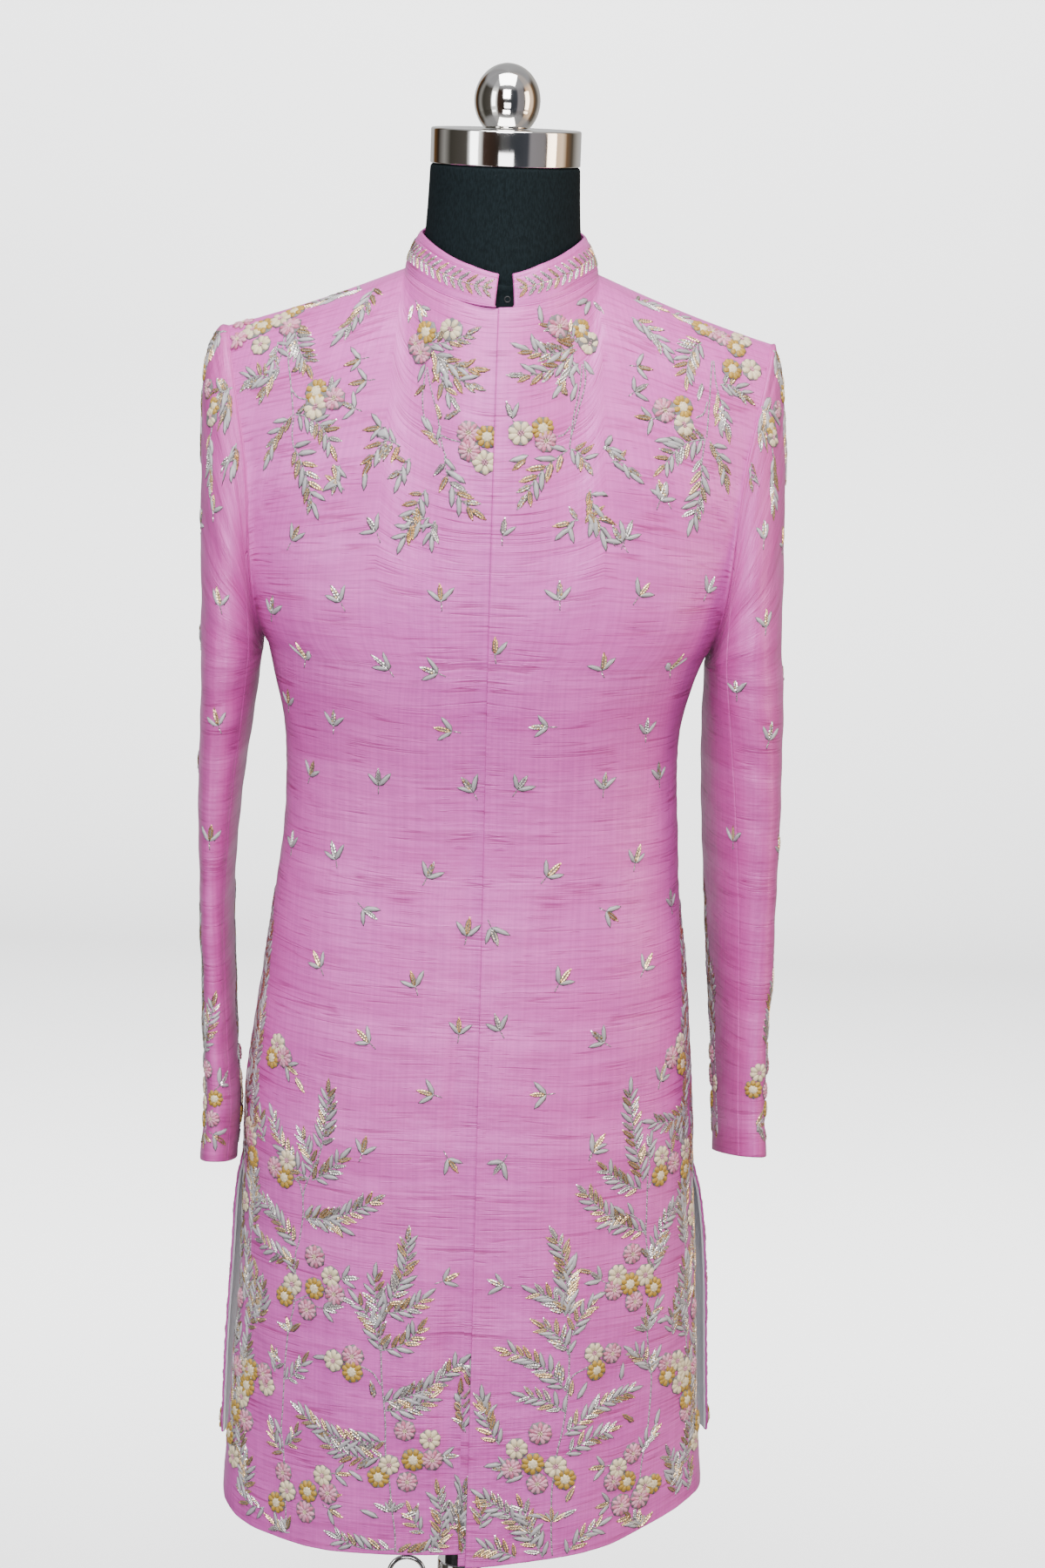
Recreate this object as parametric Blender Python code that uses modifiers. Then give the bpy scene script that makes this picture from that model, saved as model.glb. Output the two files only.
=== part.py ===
"""Sherwani coat worn by a dress form on a round-based stand.

The coat is cut as two fronts (the left laps over the right), two back
panels, a stand collar and two-piece sleeves.  Each cloth piece is an open
sheet through sections worked out from named sizes, thickened by Solidify.
Metres, +Z up, the front faces -Y, the wearer's left is +X.
"""
import math

import bmesh
import bpy
import numpy as np

# ---------------------------------------------------------------- sizes
CLOTH = 0.0020            # outer cloth, interlining and lining together
COLLAR_WALL = 0.0032      # stiffened collar
LINING_WALL = 0.0010      # lining of the back skirt
SEAM_GAP = 0.0003         # space kept between neighbouring pieces
SEAM_TRIM = 0.00022       # drawn in from each body seam line
SLEEVE_TRIM = 0.00040     # drawn in from each sleeve seam line
LAP_SINK = 0.0028         # how far the right front passes under the left
LAP_WIDTH = 0.046         # width of the underlap, past the centre

ARMPIT_Z = 1.165
SLIT_TOP_Z = 0.728
HEM_Z = 0.404
BACK_HEM_Z = 0.459

NECK_HALF = 0.0780        # neckline half width
NECK_FRONT_Y = -0.0900
NECK_BACK_Y = 0.0760
NECK_FRONT_Z = 1.4445
NECK_SIDE_Z = 1.4665
NECK_BACK_Z = 1.4840
RIM_HALF = 0.0663         # collar's upper rim
RIM_FRONT_Y = -0.0780
RIM_BACK_Y = 0.0690
RIM_FRONT_Z = 1.4730
RIM_SIDE_Z = 1.4970
RIM_BACK_Z = 1.5190
SHOULDER_X = 0.2200
SHOULDER_Y = 0.0080
SHOULDER_Z = 1.4150
NECK_SHARE = 0.36         # share of a panel's columns that end at the neck
NARROW = 0.010            # share taken by the narrow column along a seam

FRONT_NECK_COLUMNS = 5
BACK_NECK_COLUMNS = 4
ARM_COLUMNS = 6
UPPER_ROWS = 9

CAP_R = 0.0602
CAP_BOTTOM_Z = 1.5514
CAP_TOP_Z = 1.5796
BALL_R = 0.0265
BALL_HALF = 0.0298        # half the height of the slightly tall ball
BALL_Z = 1.6018
FORM_BOTTOM_Z = 0.800
POLE_R = 0.0125
TUBE_R = 0.0160
TUBE_TOP_Z = 0.352
BASE_R = 0.180
BASE_H = 0.014

# Horizontal sections of the closed body.  shift moves the section sideways.
SECTION_COLS = ("z", "half", "shift", "side_y", "front_y", "back_y", "power")
SECTIONS = (
    (0.400, 0.2035, 0.000, 0.000, -0.1370, 0.128, 2.15),
    (0.450, 0.2020, 0.000, 0.000, -0.1360, 0.127, 2.15),
    (0.540, 0.1965, -0.001, 0.002, -0.1330, 0.125, 2.15),
    (0.620, 0.1925, -0.001, 0.004, -0.1300, 0.123, 2.20),
    (0.700, 0.1900, -0.003, 0.006, -0.1270, 0.121, 2.20),
    (0.780, 0.1885, -0.005, 0.008, -0.1240, 0.121, 2.25),
    (0.850, 0.1815, -0.004, 0.008, -0.1200, 0.118, 2.25),
    (0.900, 0.1755, -0.003, 0.007, -0.1165, 0.112, 2.25),
    (0.960, 0.1675, -0.003, 0.005, -0.1120, 0.100, 2.25),
    (1.010, 0.1632, -0.002, 0.003, -0.1100, 0.091, 2.25),
    (1.060, 0.1612, -0.003, 0.001, -0.1125, 0.090, 2.25),
    (1.100, 0.1632, -0.004, 0.000, -0.1175, 0.096, 2.30),
    (1.135, 0.1712, -0.004, 0.000, -0.1220, 0.103, 2.35),
    (1.165, 0.1800, -0.002, 0.000, -0.1255, 0.109, 2.40),
)

# Skirt side edges below the slit: the back is wider and hangs behind.
SKIRT_COLS = ("z", "front_grow", "front_edge_y", "back_grow", "back_edge_y")
SKIRT = (
    (0.400, 0.0005, 0.000, 0.0090, 0.056),
    (0.480, 0.0005, 0.000, 0.0110, 0.052),
    (0.560, 0.0005, 0.000, 0.0125, 0.046),
    (0.640, 0.0005, 0.001, 0.0115, 0.036),
    (0.690, 0.0003, 0.003, 0.0080, 0.022),
    (0.715, 0.0001, 0.005, 0.0030, 0.011),
    (0.728, 0.0000, 0.006, 0.0000, 0.006),
    (0.760, 0.0000, 0.007, 0.0000, 0.007),
)

# Armhole curve, from the armpit up to the shoulder point.
ARMHOLE_COLS = ("z", "x", "front_y", "back_y")
ARMHOLE = (
    (1.165, 0.1800, 0.000, 0.000),
    (1.174, 0.1835, -0.027, 0.029),
    (1.192, 0.1880, -0.045, 0.050),
    (1.220, 0.1920, -0.057, 0.062),
    (1.250, 0.1945, -0.061, 0.067),
    (1.283, 0.1965, -0.059, 0.067),
    (1.310, 0.1990, -0.054, 0.064),
    (1.337, 0.2035, -0.047, 0.058),
    (1.363, 0.2090, -0.037, 0.050),
    (1.387, 0.2140, -0.024, 0.038),
    (1.403, 0.2175, -0.011, 0.026),
    (1.415, 0.2200, 0.008, 0.008),
)

# Sleeve sections below the armhole: centre, half thickness, half depth.
SLEEVE_COLS = ("z", "x", "y", "thick", "depth", "yaw")
SLEEVE_RIGHT = (
    (1.150, 0.2090, -0.001, 0.0245, 0.0770, 0.0),
    (1.100, 0.2120, 0.000, 0.0215, 0.0755, 0.0),
    (1.040, 0.2160, 0.003, 0.0175, 0.0735, 0.0),
    (0.970, 0.2180, 0.005, 0.0139, 0.0710, 0.0),
    (0.930, 0.2176, 0.004, 0.0126, 0.0690, 0.0),
    (0.880, 0.2152, 0.001, 0.0124, 0.0660, 0.0),
    (0.820, 0.2121, -0.006, 0.0131, 0.0625, 0.0),
    (0.770, 0.2087, -0.013, 0.0140, 0.0595, 0.0),
    (0.722, 0.2107, -0.019, 0.0145, 0.0575, 0.0),
)
SLEEVE_LEFT = (
    (1.150, 0.2105, -0.002, 0.0300, 0.0770, 4.0),
    (1.100, 0.2117, 0.000, 0.0296, 0.0755, 8.0),
    (1.040, 0.2138, 0.002, 0.0274, 0.0735, 11.0),
    (0.970, 0.2158, 0.004, 0.0229, 0.0705, 13.0),
    (0.910, 0.2185, 0.003, 0.0210, 0.0675, 13.0),
    (0.857, 0.2201, 0.000, 0.0175, 0.0645, 12.0),
    (0.790, 0.2225, -0.008, 0.0159, 0.0605, 11.0),
    (0.741, 0.2255, -0.016, 0.0169, 0.0580, 11.0),
)
HEAD_PULL = {1: 0.040, -1: 0.098}   # how far each sleeve head stands out
CUFF_SLANT = 0.24             # rise of the cuff towards the front
SLEEVE_SEAM_FRONT = 0.325     # share of the way round from the outer side
SLEEVE_SEAM_BACK = -0.310
SLEEVE_POWER = 2.3

# Hem of each front, by share of its width from the centre.
FRONT_HEM_COLS = ("share", "left", "right")
FRONT_HEM = (
    (0.0, 0.4130, 0.4235),
    (0.1, 0.4150, 0.4230),
    (0.2, 0.4187, 0.4213),
    (0.3, 0.4222, 0.4200),
    (0.4, 0.4255, 0.4180),
    (0.5, 0.4285, 0.4162),
    (0.6, 0.4350, 0.4162),
    (0.7, 0.4420, 0.4175),
    (0.8, 0.4490, 0.4228),
    (0.9, 0.4510, 0.4300),
    (1.0, 0.4570, 0.4400),
)

# Standing folds of the skirt and chest: where across a panel (share of its
# width from the centre), between which heights, how wide and how deep.
FOLD_COLS = ("across", "top_z", "low_z", "width", "depth", "drift")
FRONT_FOLDS = (
    (0.30, 0.860, 0.380, 0.100, 0.0040, 0.05),
    (0.56, 0.820, 0.380, 0.110, -0.0035, 0.03),
    (0.80, 0.760, 0.380, 0.090, 0.0045, 0.02),
)
BACK_FOLDS = (
    (0.18, 0.860, 0.400, 0.110, 0.0040, 0.02),
    (0.45, 0.850, 0.400, 0.120, -0.0055, 0.03),
    (0.72, 0.830, 0.400, 0.110, 0.0060, 0.02),
)

# Outline of the dress form below the armpit: how far it lies in from the
# outer face of the coat.
FORM_COLS = ("z", "inset")
FORM_INSETS = (
    (0.800, 0.0500),
    (0.840, 0.0350),
    (0.880, 0.0240),
    (0.920, 0.0150),
    (0.980, 0.0080),
    (1.060, 0.0045),
    (1.165, 0.0027),
    (1.600, 0.0027),
)

PINK = (0.604, 0.175, 0.429, 1.0)
PALE_LINING = (0.497, 0.508, 0.546, 1.0)
BLACK_CLOTH = (0.012, 0.014, 0.016, 1.0)
BLACK_PAINT = (0.010, 0.010, 0.011, 1.0)
CHROME = (0.780, 0.770, 0.750, 1.0)


# ---------------------------------------------------------------- helpers
def clear_scene():
    for item in list(bpy.data.objects):
        bpy.data.objects.remove(item, do_unlink=True)


def make_material(name, colour, roughness, metallic):
    material = bpy.data.materials.new(name)
    material.use_nodes = True
    shader = material.node_tree.nodes["Principled BSDF"]
    shader.inputs["Base Color"].default_value = colour
    shader.inputs["Roughness"].default_value = roughness
    shader.inputs["Metallic"].default_value = metallic
    material.diffuse_color = colour
    return material


def smooth_step(value):
    value = min(1.0, max(0.0, value))
    return value * value * (3.0 - 2.0 * value)


def table_value(rows, columns, name, height):
    """A smooth curve through one named column of a table, read at a height."""
    ordered = sorted(rows)
    zs = [row[0] for row in ordered]
    values = [row[columns.index(name)] for row in ordered]
    return curve_value(zs, values, height)


def curve_value(zs, values, height):
    """Cubic curve through rising places zs, level beyond both ends."""
    if height <= zs[0]:
        return values[0]
    if height >= zs[-1]:
        return values[-1]
    slopes = []
    for i in range(len(zs)):
        low = max(i - 1, 0)
        high = min(i + 1, len(zs) - 1)
        slopes.append((values[high] - values[low]) / (zs[high] - zs[low]))
    i = max(k for k in range(len(zs) - 1) if zs[k] <= height)
    step = zs[i + 1] - zs[i]
    t = (height - zs[i]) / step
    return (values[i] * (2 * t ** 3 - 3 * t ** 2 + 1)
            + slopes[i] * step * (t ** 3 - 2 * t ** 2 + t)
            + values[i + 1] * (3 * t ** 2 - 2 * t ** 3)
            + slopes[i + 1] * step * (t ** 3 - t ** 2))


def armhole_value(name, z):
    """Read the armhole table by its angle, level at the armpit and shoulder."""
    low = ARMHOLE[0][0]
    high = ARMHOLE[-1][0]
    column = ARMHOLE_COLS.index(name)

    def angle(height):
        share = min(1.0, max(0.0, (height - low) / (high - low)))
        return math.acos(1.0 - 2.0 * share)

    places = [angle(row[0]) for row in ARMHOLE]
    return curve_value(places, [row[column] for row in ARMHOLE], angle(z))


def hermite(start, start_pull, end, end_pull, t):
    return (start * (2 * t ** 3 - 3 * t ** 2 + 1)
            + start_pull * (t ** 3 - 2 * t ** 2 + t)
            + end * (3 * t ** 2 - 2 * t ** 3)
            + end_pull * (t ** 3 - t ** 2))


# ---------------------------------------------------------------- body
def section_point(face, share, z):
    """Point on one quarter of the body: share 0 is the centre, 1 the side."""
    half = table_value(SECTIONS, SECTION_COLS, "half", z)
    side_y = table_value(SECTIONS, SECTION_COLS, "side_y", z)
    edge_y = table_value(SECTIONS, SECTION_COLS, face + "_y", z)
    power = table_value(SECTIONS, SECTION_COLS, "power", z)
    if z < SKIRT[-1][0]:
        half += table_value(SKIRT, SKIRT_COLS, face + "_grow", z)
        side_y = table_value(SKIRT, SKIRT_COLS, face + "_edge_y", z)
    angles = np.linspace(math.pi / 2, 0.0, 61)
    xs = half * np.cos(angles) ** (2.0 / power)
    ys = side_y + (edge_y - side_y) * np.sin(angles) ** (2.0 / power)
    run = np.concatenate(([0.0], np.cumsum(np.hypot(np.diff(xs), np.diff(ys)))))
    x = float(np.interp(share * run[-1], run, xs))
    y = float(np.interp(share * run[-1], run, ys))
    return np.array((x, y, z))


def neckline_point(face, turn):
    """turn 0 is the centre, 1 the side of the neck."""
    angle = turn * math.pi / 2
    end_y = NECK_FRONT_Y if face == "front" else NECK_BACK_Y
    end_z = NECK_FRONT_Z if face == "front" else NECK_BACK_Z
    x = NECK_HALF * math.sin(angle)
    y = 0.004 + (end_y - 0.004) * math.cos(angle)
    z = NECK_SIDE_Z + (end_z - NECK_SIDE_Z) * math.cos(angle) ** 2
    return np.array((x, y, z))


def top_point(face, share):
    if share <= NECK_SHARE:
        return neckline_point(face, share / NECK_SHARE)
    along = (share - NECK_SHARE) / (1.0 - NECK_SHARE)
    start = neckline_point(face, 1.0)
    end = np.array((SHOULDER_X, SHOULDER_Y, SHOULDER_Z))
    point = start + (end - start) * along
    point[2] -= 0.0025 * math.sin(math.pi * along)
    return point


def column_point(face, share, t):
    """Column above the armpit: t 0 at the armpit level, 1 at the top."""
    start = section_point(face, share, ARMPIT_Z)
    lower = section_point(face, share, ARMPIT_Z - 0.03)
    end = top_point(face, share)
    rise = end[2] - start[2]
    start_pull = (start - lower) / 0.03 * rise
    start_pull[0] *= 0.45
    start_pull[1] *= 0.8
    turn = min(1.0, share / NECK_SHARE) ** 3
    toward = 1.0 if face == "front" else -1.0
    lean = (0.36 if face == "front" else 0.62) + turn * 0.6
    lift = (0.90 if face == "front" else 0.75) * (1.0 - turn)
    pull = np.array((0.0, toward * min(lean, 1.0), lift))
    reach = 0.19 + 0.075 * turn
    end_pull = pull / np.linalg.norm(pull) * reach
    return hermite(start, start_pull, end, end_pull, t)


def body_point(side, face, share, height):
    """height up to ARMPIT_Z is a z; beyond it, 1 unit of t above ARMPIT_Z."""
    if height <= ARMPIT_Z:
        point = section_point(face, share, height)
    else:
        t = height - ARMPIT_Z
        point = column_point(face, share, t)
        edge = column_point(face, 1.0, t)
        z = edge[2]
        target_x = armhole_value("x", z)
        target_y = armhole_value(face + "_y", z)
        weight = share ** 5
        point[0] += weight * (target_x - edge[0])
        point[1] += weight * (target_y - edge[1])
    return point


def side_shift(z):
    return table_value(SECTIONS, SECTION_COLS, "shift", min(z, ARMPIT_Z)) * (
        1.0 - smooth_step((z - ARMPIT_Z) / 0.15))


def placed(side, point):
    """Put a right-handed quarter point on its side of the coat."""
    return np.array((side * point[0] + side_shift(point[2]), point[1], point[2]))


def fold_push(face, share, z):
    folds = FRONT_FOLDS if face == "front" else BACK_FOLDS
    total = 0.0
    for across, top_z, low_z, width, depth, drift in folds:
        down = (top_z - z) / (top_z - low_z)
        if down <= 0.0:
            continue
        centre = across + drift * down
        reach = (share - centre) / (width / 0.26)
        total += depth * smooth_step(down * 1.3) * math.exp(-(reach * 2.6) ** 2)
    return total


def hem_height(side, face, share):
    """Height of the finished hem, with the rounded front corner."""
    if face == "front":
        name = "left" if side > 0 else "right"
        return table_value(FRONT_HEM, FRONT_HEM_COLS, name, share)
    return BACK_HEM_Z + side * 0.009 * share


def lower_heights(face, count):
    """Row heights from the hem to the armpit, closer at the slit and hem."""
    low = HEM_Z if face == "front" else BACK_HEM_Z
    below = np.linspace(low, SLIT_TOP_Z - 0.002, count // 2)
    above = np.linspace(SLIT_TOP_Z + 0.030, ARMPIT_Z, count - count // 2)
    return [float(z) for z in below] + [float(z) for z in above]


def upper_heights(count):
    """Rows over the shoulder, with a narrow one along the top seam."""
    steps = [float(t) for t in np.linspace(0.0, 1.0, count)[1:-1]]
    steps = [0.5 * (t + math.sin(t * math.pi / 2) ** 1.3) for t in steps]
    return [ARMPIT_Z + t for t in steps + [1.0 - NARROW * 0.8, 1.0]]


def panel_shares(neck_columns, arm_columns, seam_start=False):
    """Columns from the centre to the side, with narrow ones along seams."""
    left = [float(s) for s in np.linspace(0.0, NECK_SHARE, neck_columns + 1)]
    right = [float(s) for s in np.linspace(NECK_SHARE, 1.0, arm_columns + 1)]
    if seam_start:
        left.insert(1, NARROW)
    right.insert(-1, 1.0 - NARROW)
    return left + right[1:]


def panel_grid(side, face, shares, heights, folds=True):
    grid = []
    base = HEM_Z if face == "front" else BACK_HEM_Z
    for height in heights:
        row = []
        for share in shares:
            here = height
            if folds and height < 0.75:
                gap = hem_height(side, face, share) - base
                here = height + gap * (1.0 - smooth_step((height - base) / 0.25))
            point = body_point(side, face, share, here)
            if folds and here <= ARMPIT_Z:
                centre = np.array((0.0, point[1] * 0.2, point[2]))
                out = point - centre
                out /= np.linalg.norm(out)
                point = point + out * fold_push(face, share, here)
            row.append(placed(side, point))
        grid.append(row)
    return grid


def trim_grid(grid, top, bottom, first, last):
    """Draw a grid's edges in by the given distances, to leave seam gaps."""
    rows = [[np.array(p) for p in row] for row in grid]
    firsts = np.broadcast_to(first, len(rows))
    lasts = np.broadcast_to(last, len(rows))
    for row, start, end in zip(rows, firsts, lasts):
        if start:
            step = row[1] - row[0]
            row[0] = row[0] + step / np.linalg.norm(step) * start
        if end:
            step = row[-2] - row[-1]
            row[-1] = row[-1] + step / np.linalg.norm(step) * end
    for i in range(len(rows[0])):
        if top:
            step = rows[-2][i] - rows[-1][i]
            rows[-1][i] = rows[-1][i] + step / np.linalg.norm(step) * top
        if bottom:
            step = rows[1][i] - rows[0][i]
            rows[0][i] = rows[0][i] + step / np.linalg.norm(step) * bottom
    return rows


def sheet_object(name, grid, wall, material, parts, closed=False, flip=False):
    """Mesh from rows of points, thickened inwards."""
    mesh = bmesh.new()
    rows = [[mesh.verts.new(tuple(p)) for p in row] for row in grid]
    for low, high in zip(rows[:-1], rows[1:]):
        count = len(low) if closed else len(low) - 1
        for i in range(count):
            j = (i + 1) % len(low)
            corners = [low[i], low[j], high[j], high[i]]
            if flip:
                corners.reverse()
            mesh.faces.new(corners)
    data = bpy.data.meshes.new(name)
    mesh.to_mesh(data)
    mesh.free()
    item = bpy.data.objects.new(name, data)
    parts.objects.link(item)
    data.materials.append(material)
    shell = item.modifiers.new("wall", "SOLIDIFY")
    shell.thickness = wall
    shell.offset = -1.0
    shell.use_even_offset = False
    shell.use_quality_normals = True
    data.shade_smooth()
    return item


def build_fronts(parts, cloth):
    heights = lower_heights("front", 15) + upper_heights(UPPER_ROWS)
    shares = panel_shares(FRONT_NECK_COLUMNS, ARM_COLUMNS)
    left = panel_grid(1, "front", shares, heights)
    under = [list(row) for row in left]
    for row in left:
        edge = front_edge_x(row[0][2])
        row[0] = row[0] + np.array((edge - row[0][0], 0.0, 0.0))
        row[1] = row[1] + np.array((edge * 0.5, 0.0, 0.0))
    left = trim_grid(left, SEAM_TRIM, 0.0, 0.0, SEAM_TRIM)
    sheet_object("front_left", left, CLOTH, cloth, parts)
    right = panel_grid(-1, "front", shares, heights)
    full = []
    for row, beyond in zip(right, under):
        lap = LAP_WIDTH - 0.006 * smooth_step((row[0][2] - 1.41) / 0.03)
        middle = min(beyond[2][0] - beyond[0][0], lap * 0.9)
        full.append([at_reach(beyond, lap), at_reach(beyond, middle), beyond[1]] + row)
    normals = grid_normals(full)
    sunk = []
    for row, ups in zip(full, normals):
        line = []
        for point, up in zip(row, ups):
            near = (point[0] - front_edge_x(point[2]) + 0.034) / 0.026
            line.append(point - up * LAP_SINK * smooth_step(near))
        sunk.append(line)
    sunk = trim_grid(sunk, SEAM_TRIM, 0.0, 0.0, SEAM_TRIM)
    sheet_object("front_right", sunk, CLOTH, cloth, parts, flip=True)


def at_reach(row, reach):
    """Point of a row at a sideways distance from the row's first point."""
    points = np.array(row)
    xs = points[:, 0] - points[0, 0]
    return np.array([float(np.interp(reach, xs, points[:, k])) for k in range(3)])


def front_edge_x(z):
    """The overlapping edge runs almost straight down the centre."""
    return 0.006 - 0.007 * smooth_step((z - HEM_Z) / (NECK_FRONT_Z - HEM_Z))


def build_backs(parts, cloth, pale):
    heights = lower_heights("back", 15) + upper_heights(UPPER_ROWS)
    shares = panel_shares(BACK_NECK_COLUMNS, ARM_COLUMNS, True)
    grids = {}
    for side, label in ((1, "left"), (-1, "right")):
        grid = panel_grid(side, "back", shares, heights)
        grids[side] = grid
        trimmed = trim_grid(grid, SEAM_TRIM, 0.0, SEAM_TRIM, SEAM_TRIM)
        sheet_object("back_" + label, trimmed, CLOTH, cloth, parts, flip=side > 0)
    build_lining(parts, pale, grids)


def build_lining(parts, pale, grids):
    """Lining inside the back skirt, from just above the hem past the slits."""
    rows = []
    for low, right in zip(grids[1], grids[-1]):
        rows.append(list(reversed(low[:-1])) + right[1:-1])
    rows = rows[:8]
    normals = grid_normals(rows)
    grid = []
    for row, ups in zip(rows, normals):
        grid.append([p - n * (CLOTH + SEAM_GAP) for p, n in zip(row, ups)])
    grid = trim_grid(grid, 0.0, 0.009, 0.0015, 0.0015)
    sheet_object("back_skirt_lining", grid, LINING_WALL, pale, parts)


def grid_normals(rows):
    """Outward unit normals of a grid whose columns run left to right."""
    points = np.array(rows)
    across = np.gradient(points, axis=1)
    up = np.gradient(points, axis=0)
    normals = np.cross(across, up)
    normals /= np.linalg.norm(normals, axis=2, keepdims=True)
    middle = points[:, points.shape[1] // 2, :]
    if np.sum(normals[:, points.shape[1] // 2, :] * (middle - [0, 0, 0])
              * [1, 1, 0]) < 0:
        normals = -normals
    return normals


# ---------------------------------------------------------------- collar
def collar_ring(half, front_y, back_y, front_z, side_z, back_z, start, end, count):
    ring = []
    for i in range(count + 1):
        angle = start + (end - start) * i / count
        x = half * math.sin(angle)
        reach = math.cos(angle)
        if reach > 0:
            y = 0.004 + (front_y - 0.004) * reach
            z = side_z + (front_z - side_z) * reach ** 2
        else:
            y = 0.004 - (back_y - 0.004) * reach
            z = side_z + (back_z - side_z) * reach ** 2
        ring.append(np.array((x, y, z)))
    return ring


def build_collar(parts, cloth):
    count = 36
    low_gap = (math.asin(0.0115 / NECK_HALF), math.asin(0.0035 / NECK_HALF))
    top_gap = (math.asin(0.0090 / RIM_HALF), math.asin(0.0010 / RIM_HALF))
    low = collar_ring(NECK_HALF, NECK_FRONT_Y, NECK_BACK_Y, NECK_FRONT_Z,
                      NECK_SIDE_Z, NECK_BACK_Z, low_gap[0],
                      2 * math.pi - low_gap[1], count)
    top = collar_ring(RIM_HALF, RIM_FRONT_Y, RIM_BACK_Y, RIM_FRONT_Z,
                      RIM_SIDE_Z, RIM_BACK_Z, top_gap[0],
                      2 * math.pi - top_gap[1], count)
    grid = []
    for k in range(4):
        t = k / 3.0
        row = []
        for i, (a, b) in enumerate(zip(low, top)):
            point = a + (b - a) * t
            centre = np.array((0.0, 0.0, point[2]))
            out = point - centre
            out /= np.linalg.norm(out)
            point = point + out * 0.0016 * math.sin(math.pi * t)
            point[2] += 0.0013 * (1.0 - t)
            ends = min(i, count - i)
            if k == 3 and ends < 2:
                point[2] -= 0.0028 * (1.0 - ends / 2.0)
            row.append(point)
        grid.append(row)
    item = sheet_object("collar", grid, COLLAR_WALL, cloth, parts)
    edge = item.modifiers.new("edge", "BEVEL")
    edge.width = 0.0010
    edge.segments = 1
    edge.limit_method = "ANGLE"
    edge.angle_limit = math.radians(60)
    edge.harden_normals = False


# ---------------------------------------------------------------- sleeves
def along_arc(points, share):
    """Point at a share of the length of a chain of points."""
    points = np.array(points)
    steps = np.linalg.norm(np.diff(points, axis=0), axis=1)
    run = np.concatenate(([0.0], np.cumsum(steps)))
    place = share * run[-1]
    return np.array([float(np.interp(place, run, points[:, k])) for k in range(3)])


def armhole_loop_point(turn):
    """Point of the armhole: turn 0 the shoulder, 0.5 the armpit, front first."""
    face = "front" if turn <= 0.5 else "back"
    share = turn * 2.0 if turn <= 0.5 else (1.0 - turn) * 2.0
    chain = []
    for i in range(41):
        z = SHOULDER_Z + (ARMPIT_Z - SHOULDER_Z) * (1 - math.cos(i * math.pi / 40)) / 2
        x = armhole_value("x", z)
        y = armhole_value(face + "_y", z)
        chain.append((x, y, z))
    return along_arc(chain, share)


def sleeve_ring_point(table, turn, z):
    """Point of a sleeve section: turn 0 faces out, 0.25 ahead, 0.5 the body."""
    row = {name: table_value(table, SLEEVE_COLS, name, z) for name in SLEEVE_COLS[1:]}
    quarter = int(turn * 4.0) % 4
    part = turn * 4.0 - int(turn * 4.0)
    if quarter in (1, 3):
        part = 1.0 - part
    chain = []
    for i in range(25):
        angle = i * math.pi / 48
        chain.append((row["thick"] * math.cos(angle) ** (2.0 / SLEEVE_POWER),
                      row["depth"] * math.sin(angle) ** (2.0 / SLEEVE_POWER), z))
    point = along_arc(chain, part)
    out = point[0] if quarter in (0, 3) else -point[0]
    ahead = -point[1] if quarter in (0, 1) else point[1]
    yaw = math.radians(row["yaw"])
    x = row["x"] + out * math.cos(yaw) - ahead * math.sin(yaw)
    y = row["y"] + out * math.sin(yaw) + ahead * math.cos(yaw)
    return np.array((x, y, z))


def sleeve_point(side, table, turn, down):
    """down 0 is the armhole, 1 the top section, 2 the cuff."""
    turn = turn % 1.0
    top_z = table[0][0]
    cuff_z = table[-1][0]
    angle = turn * 2.0 * math.pi
    if down >= 1.0:
        z = top_z + (cuff_z - top_z) * (down - 1.0)
        point = sleeve_ring_point(table, turn, z)
        ahead = table_value(table, SLEEVE_COLS, "y", z) - point[1]
        near_cuff = 1.0 - smooth_step((z - cuff_z) / 0.150)
        point[2] += CUFF_SLANT * ahead * near_cuff
    else:
        start = armhole_loop_point(turn)
        end = sleeve_ring_point(table, turn, top_z)
        below = sleeve_ring_point(table, turn, top_z - 0.02)
        length = np.linalg.norm(end - start)
        outward = np.array((1.0, -0.35 * math.sin(angle), 0.10 * math.cos(angle)))
        outward /= np.linalg.norm(outward)
        top_share = (1.0 + math.cos(angle)) / 2.0
        start_pull = outward * (0.006 + HEAD_PULL[side] * top_share ** 1.6)
        end_pull = (below - end) / 0.02 * length * 1.05
        start = start + outward * (0.0010 + 0.0007 * (1.0 - top_share))
        point = hermite(start, start_pull, end, end_pull, down)
    shift = side_shift(point[2]) if point[2] > ARMPIT_Z else side_shift(ARMPIT_Z)
    return np.array((side * point[0] + shift, point[1], point[2]))


def spread(start, end, count, narrow):
    """Even columns between two seams, with a narrow one inside each seam."""
    inner = [float(v) for v in np.linspace(start, end, count + 1)[1:-1]]
    return [start, start + narrow] + inner + [end - narrow, end]


def build_sleeve(parts, cloth, side, label, table):
    downs = [0.0, 0.04, 0.14, 0.26, 0.42, 0.60, 0.80]
    downs += [1.0 + float(d) for d in np.linspace(0.0, 1.0, 12)]
    upper = spread(SLEEVE_SEAM_BACK, SLEEVE_SEAM_FRONT, 10, 0.006)
    under = spread(SLEEVE_SEAM_FRONT, 1.0 + SLEEVE_SEAM_BACK, 5, 0.006)
    for part, turns in (("upper", upper), ("under", under)):
        grid = []
        for down in reversed(downs):
            grid.append([sleeve_point(side, table, turn, down) for turn in turns])
        trims = [SLEEVE_TRIM * (2.0 if 0.0 < d < 0.7 else 1.0)
                 for d in reversed(downs)]
        grid = trim_grid(grid, 0.0, 0.0, trims, trims)
        sheet_object(part + "_sleeve_" + label, grid, CLOTH, cloth, parts,
                     flip=side > 0)


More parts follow.
